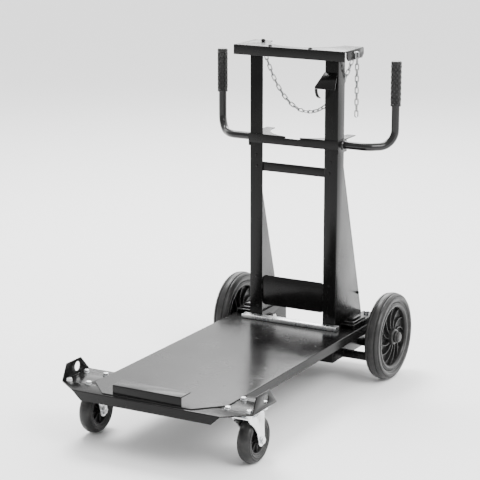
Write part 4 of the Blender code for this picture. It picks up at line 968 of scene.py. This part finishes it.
place("front_plate_screws", grow(DOMED_HEADS, marks(plate_spots), POWDER_COAT), "chassis", POWDER_COAT)
print("screws:", len(spots) + len(plate_spots), "rivets:", len(rivets), "nuts:", len(mount_nuts))

# %% [markdown]
# ## Handles
# Each handle is one bent tube with a rubber grip pushed over its end. A tube is swept along a path:
# straight runs joined by arcs, the way a bender makes it. The path's corners come from the packed
# tube's and grip's boxes. A weld fillet closes the joint at the cradle.

# %% Handle tubes
TUBE_RADIUS = 0.011
BEND_RADIUS = 0.045
ROOT_RUN = 0.074


def rounded_path(points, radius, steps=14):
    """A path whose inner corners are replaced by arcs."""
    path = [points[0]]
    for before, corner, after in zip(points, points[1:], points[2:]):
        way_in = (before - corner).normalized()
        way_out = (after - corner).normalized()
        half = way_in.angle(way_out) / 2
        start = corner + way_in * radius / math.tan(half)
        centre = corner + (way_in + way_out).normalized() * radius / math.sin(half)
        axis = (start - centre).cross(way_in).normalized()
        for step in range(steps + 1):
            turn = Matrix.Rotation(-(math.pi - 2 * half) * step / steps, 3, axis)
            path.append(centre + turn @ (start - centre))
    return path + [points[-1]]


def swept(path, radius, sides=28):
    """A closed tube along a path. Each ring is carried over from the last, so it never twists."""
    work = bmesh.new()
    rings = []
    side = None
    for here, point in enumerate(path):
        ahead = path[min(here + 1, len(path) - 1)] - path[max(here - 1, 0)]
        ahead.normalize()
        side = ahead.orthogonal() if side is None else side - ahead * side.dot(ahead)
        side.normalize()
        up = ahead.cross(side)
        rings.append([
            work.verts.new(point + (side * math.cos(a) + up * math.sin(a)) * radius)
            for a in (math.tau * step / sides for step in range(sides))
        ])
    for first, second in zip(rings, rings[1:]):
        for step in range(sides):
            turn = (step + 1) % sides
            work.faces.new((first[step], first[turn], second[turn], second[step]))
    work.faces.new(rings[0])
    work.faces.new(rings[-1])
    bmesh.ops.recalc_face_normals(work, faces=work.faces)
    mesh = bpy.data.meshes.new("swept")
    work.to_mesh(mesh)
    work.free()
    return mesh


for side, sign in (("left", -1), ("right", 1)):
    low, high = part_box(f"handle_tube_{side}")
    grip = middle_of(f"handle_grip_{side}")
    inner = min((low[0], high[0]), key=abs)
    root = Vector((inner, low[1] + TUBE_RADIUS, low[2] + TUBE_RADIUS))
    elbow = root + Vector((sign * ROOT_RUN, 0, 0))
    corner = Vector((grip.x, grip.y, root.z))
    top = Vector((grip.x, grip.y, high[2]))
    tube = swept(rounded_path([root, elbow, corner, top], BEND_RADIUS), TUBE_RADIUS)
    fillet = turned(eased([
        (TUBE_RADIUS - 0.001, inner), (TUBE_RADIUS + 0.0036, inner), (TUBE_RADIUS + 0.0030, inner + sign * 0.0014),
        (TUBE_RADIUS + 0.0002, inner + sign * 0.0045), (TUBE_RADIUS - 0.001, inner + sign * 0.0045),
    ], 0.0010), segments=48, centre=(0, root.y, root.z))
    place(f"handle_tube_{side}_bent", joined(tube, fillet), "chassis", TUBE_COAT, f"handle_tube_{side}")
print("handle tubes: 2, radius", TUBE_RADIUS)

# %% [markdown]
# ### Grips
# The grips are moulded with rows of small raised diamonds. A tree lays the diamonds out by number:
# so many round the sleeve, each row half a step on from the last. The sleeve itself is turned, with a
# smooth collar at its mouth and a domed end.

# %% Tree: diamonds on a sleeve
def make_diamond_tree():
    tree, given = new_tree("diamonds_on_a_sleeve", Radius=0.0143, Length=0.1, Around=8, Rows=14, Rise=0.0019)
    around = given.outputs["Around"]
    count = calc(tree, "MULTIPLY", around, given.outputs["Rows"])
    points = add_node(tree, "GeometryNodePoints", {"Count": count})
    number = add_node(tree, "GeometryNodeInputIndex").outputs["Index"]
    row = calc(tree, "FLOOR", calc(tree, "DIVIDE", calc(tree, "ADD", number, 0.5), around))
    column = calc(tree, "SUBTRACT", number, calc(tree, "MULTIPLY", row, around))
    shifted = calc(tree, "ADD", column, calc(tree, "MULTIPLY", calc(tree, "MODULO", row, 2.0), 0.5))
    angle = calc(tree, "DIVIDE", calc(tree, "MULTIPLY", shifted, math.tau), around)
    step = calc(tree, "DIVIDE", given.outputs["Length"], given.outputs["Rows"])
    height = calc(tree, "MULTIPLY", calc(tree, "ADD", row, 0.5), step)
    x = calc(tree, "MULTIPLY", calc(tree, "COSINE", angle), given.outputs["Radius"])
    y = calc(tree, "MULTIPLY", calc(tree, "SINE", angle), given.outputs["Radius"])
    spot = add_node(tree, "ShaderNodeCombineXYZ", {"X": x, "Y": y, "Z": height})
    spread_out = add_node(tree, "GeometryNodeSetPosition", {
        "Geometry": points.outputs[0], "Position": spot.outputs[0],
    })
    bump = add_node(tree, "GeometryNodeMeshCone", {
        "Vertices": 4, "Radius Bottom": 0.5, "Radius Top": 0.28, "Depth": 1.0,
    })
    wide = calc(tree, "DIVIDE", calc(tree, "MULTIPLY", given.outputs["Radius"], math.tau), around)
    size = add_node(tree, "ShaderNodeCombineXYZ", {
        "X": calc(tree, "MULTIPLY", step, 1.40), "Y": calc(tree, "MULTIPLY", wide, 0.72), "Z": given.outputs["Rise"],
    })
    shaped = add_node(tree, "GeometryNodeTransform", {"Geometry": bump.outputs["Mesh"], "Scale": size.outputs[0]})
    turn = add_node(tree, "ShaderNodeCombineXYZ", {"X": 0.0, "Y": math.pi / 2, "Z": angle})
    copies = add_node(tree, "GeometryNodeInstanceOnPoints", {
        "Points": spread_out.outputs["Geometry"], "Instance": shaped.outputs["Geometry"], "Rotation": turn.outputs[0],
    })
    return end_tree(tree, given, copies.outputs["Instances"])


DIAMONDS = make_diamond_tree()
GRIP_BORE = 0.0113
for side in ("left", "right"):
    low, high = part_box(f"handle_grip_{side}")
    at = middle_of(f"handle_grip_{side}")
    outer = (high[0] - low[0]) / 2
    skin = outer - 0.0019
    sleeve = turned(eased([
        (GRIP_BORE, low[2]), (outer - 0.0002, low[2]), (outer, low[2] + 0.0010), (outer, low[2] + 0.0055),
        (skin, low[2] + 0.0065), (skin, high[2] - 0.0105), (outer, high[2] - 0.0095), (outer, high[2] - 0.0030),
        (outer - 0.0030, high[2]), (0, high[2]), (0, high[2] - 0.003), (GRIP_BORE, high[2] - 0.003),
    ], 0.0008), "Z", 64, (at.x, at.y, 0))
    length = high[2] - low[2] - 0.0185
    diamonds = grow(DIAMONDS, bpy.data.meshes.new("none"), GRIP_RUBBER, Radius=skin - 0.0001, Length=length, Rise=0.0020)
    diamonds.transform(Matrix.Translation((at.x, at.y, low[2] + 0.0073)))
    place(f"handle_grip_{side}_sleeve", joined(diamonds, sleeve), "chassis", GRIP_RUBBER, f"handle_grip_{side}")
print("diamonds on a grip:", 8 * 14)

# %% [markdown]
# ## The chain
# A short-link chain holds the cylinder. It hangs in a catenary between its two ends, and its tail
# hangs from the right ear. A tree makes the chain from a line: it divides the line into steps of one
# link's pitch and sets a link on each, turned a quarter turn from its neighbour. The link itself is a
# rounded oval of wire, also made inside the tree.

# %% Tree: links along a line
LINK_PITCH = 0.0155
LINK_WIDTH = 0.0125
LINK_WIRE = 0.0037


def make_chain_tree():
    tree, given = new_tree("links_along_a_line", Pitch=LINK_PITCH, Width=LINK_WIDTH, Wire=LINK_WIRE)
    line = add_node(tree, "GeometryNodeMeshToCurve", {"Mesh": given.outputs["Geometry"]})
    steps = add_node(tree, "GeometryNodeResampleCurve", {
        "Curve": line.outputs["Curve"], "Length": given.outputs["Pitch"],
    }, mode="LENGTH")
    points = add_node(tree, "GeometryNodeCurveToPoints", {"Curve": steps.outputs["Curve"]}, mode="EVALUATED")
    wire = given.outputs["Wire"]
    long_side = calc(tree, "ADD", given.outputs["Pitch"], wire)
    short_side = calc(tree, "SUBTRACT", given.outputs["Width"], wire)
    oval = add_node(tree, "GeometryNodeCurvePrimitiveQuadrilateral", {"Width": long_side, "Height": short_side}, mode="RECTANGLE")
    soft = add_node(tree, "GeometryNodeFilletCurve", {
        "Curve": oval.outputs["Curve"], "Radius": calc(tree, "MULTIPLY", short_side, 0.495), "Count": 5,
    }, mode="POLY")
    section = add_node(tree, "GeometryNodeCurvePrimitiveCircle", {
        "Resolution": 8, "Radius": calc(tree, "MULTIPLY", wire, 0.5),
    }, mode="RADIUS")
    link = add_node(tree, "GeometryNodeCurveToMesh", {
        "Curve": soft.outputs["Curve"], "Profile Curve": section.outputs["Curve"],
    })
    number = add_node(tree, "GeometryNodeInputIndex").outputs["Index"]
    quarter = calc(tree, "MULTIPLY_ADD", calc(tree, "MODULO", number, 2.0), math.pi / 2, math.pi / 4)
    along = add_node(tree, "FunctionNodeAlignRotationToVector", {"Vector": points.outputs["Tangent"]}, axis="X")
    roll = add_node(tree, "ShaderNodeCombineXYZ", {"X": quarter})
    turn = add_node(tree, "FunctionNodeRotateRotation", {
        "Rotation": along.outputs["Rotation"], "Rotate By": roll.outputs[0],
    }, rotation_space="LOCAL")
    copies = add_node(tree, "GeometryNodeInstanceOnPoints", {
        "Points": points.outputs["Points"], "Instance": link.outputs["Mesh"], "Rotation": turn.outputs["Rotation"],
    })
    return end_tree(tree, given, copies.outputs["Instances"])


CHAIN = make_chain_tree()


def line_mesh(points):
    mesh = bpy.data.meshes.new("line")
    mesh.from_pydata([tuple(p) for p in points], [(i, i + 1) for i in range(len(points) - 1)], [])
    return mesh


def catenary(left, right, sag, count=49):
    """A hanging line between two ends, found by halving the interval its scale lies in."""
    span = (right - left).to_2d().length
    low, high = span / 50, span * 50
    for _ in range(60):
        middle = (low + high) / 2
        if middle * (math.cosh(span / 2 / middle) - 1) > sag:
            low = middle
        else:
            high = middle
    scale = (low + high) / 2
    points = []
    for step in range(count):
        share = step / (count - 1)
        point = left.lerp(right, share)
        point.z -= sag - scale * (math.cosh((share - 0.5) * span / scale) - 1)
        points.append(point)
    return points


# %% Hang the chain
CHAIN_RADIUS = 0.005
CHAIN_SAG = 0.176
swing = next(joint for joint in frame["joints"] if joint["name"] == "chain_swing")
middle = Vector(swing["pos_m"])
way = Vector(swing["axis"]).normalized()
anchor = middle_of("chain_anchor_bolt")
half_span = (middle.x - anchor.x) / way.x
left_end = middle - way * half_span
right_end = middle + way * half_span
loop_line = catenary(left_end, right_end, CHAIN_SAG)
loop = grow(CHAIN, line_mesh(loop_line), SHADED_CHAIN_ZINC)
place("chain_loop_links", loop, "chain_loop", SHADED_CHAIN_ZINC, "chain_loop")
low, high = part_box("chain_tail")
at = middle_of("chain_tail")
tail_line = [Vector((at.x, at.y, high[2] - 0.004)), Vector((at.x, at.y, low[2] + 0.008))]
tail = grow(CHAIN, line_mesh(tail_line), SHADED_CHAIN_ZINC)
place("chain_tail_links", tail, "chain_tail", SHADED_CHAIN_ZINC, "chain_tail")
length = sum((b - a).length for a, b in zip(loop_line, loop_line[1:]))
print("chain loop:", round(length, 3), "m,", round(length / LINK_PITCH), "links")

# %% [markdown]
# ## Weld beads
# The frame is welded, and powder coat runs over the welds without hiding their ripples. A bead is a
# row of flattened drops, each half over the last, so a tree sets drops along a line.

# %% Tree and places: weld beads
def make_bead_tree():
    tree, given = new_tree("drops_along_a_line", Step=0.0022, Size=0.0021)
    line = add_node(tree, "GeometryNodeMeshToCurve", {"Mesh": given.outputs["Geometry"]})
    points = add_node(tree, "GeometryNodeCurveToPoints", {
        "Curve": line.outputs["Curve"], "Length": given.outputs["Step"],
    }, mode="LENGTH")
    drop = add_node(tree, "GeometryNodeMeshUVSphere", {"Segments": 10, "Rings": 6, "Radius": given.outputs["Size"]})
    wide = add_node(tree, "FunctionNodeRandomValue", {2: 0.85, 3: 1.12, "Seed": 7}, data_type="FLOAT")
    copies = add_node(tree, "GeometryNodeInstanceOnPoints", {
        "Points": points.outputs["Points"], "Instance": drop.outputs["Mesh"], "Scale": wide.outputs[1],
    })
    return end_tree(tree, given, copies.outputs["Instances"])


BEADS = make_bead_tree()
bead_lines = []
for side, sign in (("left", -1), ("right", 1)):
    low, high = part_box(f"lashing_ear_{side}")
    inner = min((low[0], high[0]), key=abs)
    for start, end in ((0.06, 0.30), (0.68, 0.94)):
        ys = [low[1] + (high[1] - low[1]) * share for share in (start, end)]
        bead_lines.append([(inner, y, low[2]) for y in ys])
    low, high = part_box(f"wheel_bracket_{side}")
    wall = min((low[0], high[0]), key=abs)
    for y in (low[1] + 0.001, low[1] + 0.019, high[1] - 0.019, high[1] - 0.001):
        bead_lines.append([(wall, y, low[2] + 0.002), (wall, y, low[2] + 0.018)])
    low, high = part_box(f"upright_{side}")
    foot = low[2]
    bead_lines.append([(sign * (abs(max((low[0], high[0]), key=abs))), low[1] + 0.010, foot),
                       (sign * (abs(max((low[0], high[0]), key=abs))), low[1] + 0.060, foot)])
beads = [grow(BEADS, line_mesh([Vector(p) for p in line]), POWDER_COAT) for line in bead_lines]
place("weld_beads", joined(*beads), "chassis", POWDER_COAT)
print("weld beads:", len(bead_lines))

# %% [markdown]
# ## Floor and light
# The cart stands on a plain pale floor under a bright, even studio. Black paint shows mostly what it
# reflects, so the surroundings matter more than the lamps: a bright ceiling makes the flat tops pale,
# a large lamp on the right lifts the side faces, and the front stays dark.

# %% Floor
def make_floor():
    material = bpy.data.materials.new("pale_floor")
    material.use_nodes = True
    shader = material.node_tree.nodes["Principled BSDF"]
    shader.inputs["Base Color"].default_value = (0.86, 0.86, 0.86, 1.0)
    shader.inputs["Roughness"].default_value = 0.9
    mesh = turned([(0, -0.02), (30.0, -0.02), (30.0, -0.0002), (0, -0.0002)], "Z", 96)
    mesh.materials.append(material)
    floor = bpy.data.objects.new("floor", mesh)
    bpy.context.scene.collection.objects.link(floor)


make_floor()


# %% Studio light
def make_world():
    world = bpy.data.worlds.new("studio")
    bpy.context.scene.world = world
    world.use_nodes = True
    tree = world.node_tree
    background = tree.nodes["Background"]
    way = add_node(tree, "ShaderNodeTexCoord").outputs["Generated"]
    parts = add_node(tree, "ShaderNodeSeparateXYZ", {0: way})
    right = spread(tree, parts.outputs["X"], -0.7, 0.9, 1.4, 2.5)
    behind = spread(tree, parts.outputs["Y"], -0.8, 0.8, 0.55, 1.75)
    level = add_node(tree, "ShaderNodeMath", {0: right, 1: behind}, operation="MULTIPLY").outputs[0]
    tree.links.new(level, background.inputs["Strength"])
    background.inputs["Color"].default_value = (1.0, 1.0, 1.0, 1.0)


def add_lamp(name, at, target, size, power):
    data = bpy.data.lights.new(name, "AREA")
    data.shape = "DISK"
    data.size = size
    data.energy = power
    lamp = bpy.data.objects.new(name, data)
    bpy.context.scene.collection.objects.link(lamp)
    lamp.location = at
    lamp.rotation_euler = (Vector(target) - Vector(at)).to_track_quat("-Z", "Y").to_euler()


make_world()
add_lamp("key", (3.2, -1.2, 3.4), (0, 0, 0.4), 2.2, 170)
add_lamp("back", (-1.5, 3.5, 3.0), (0, 0, 0.6), 2.5, 120)
add_lamp("gleam", (-1.4, 1.1, 3.7), (0, 0.1, 0.6), 1.7, 210)
print("lamps: 3")

# %% [markdown]
# The dressed cart has to stay inside the imported model's box.

# %% Finish
import json
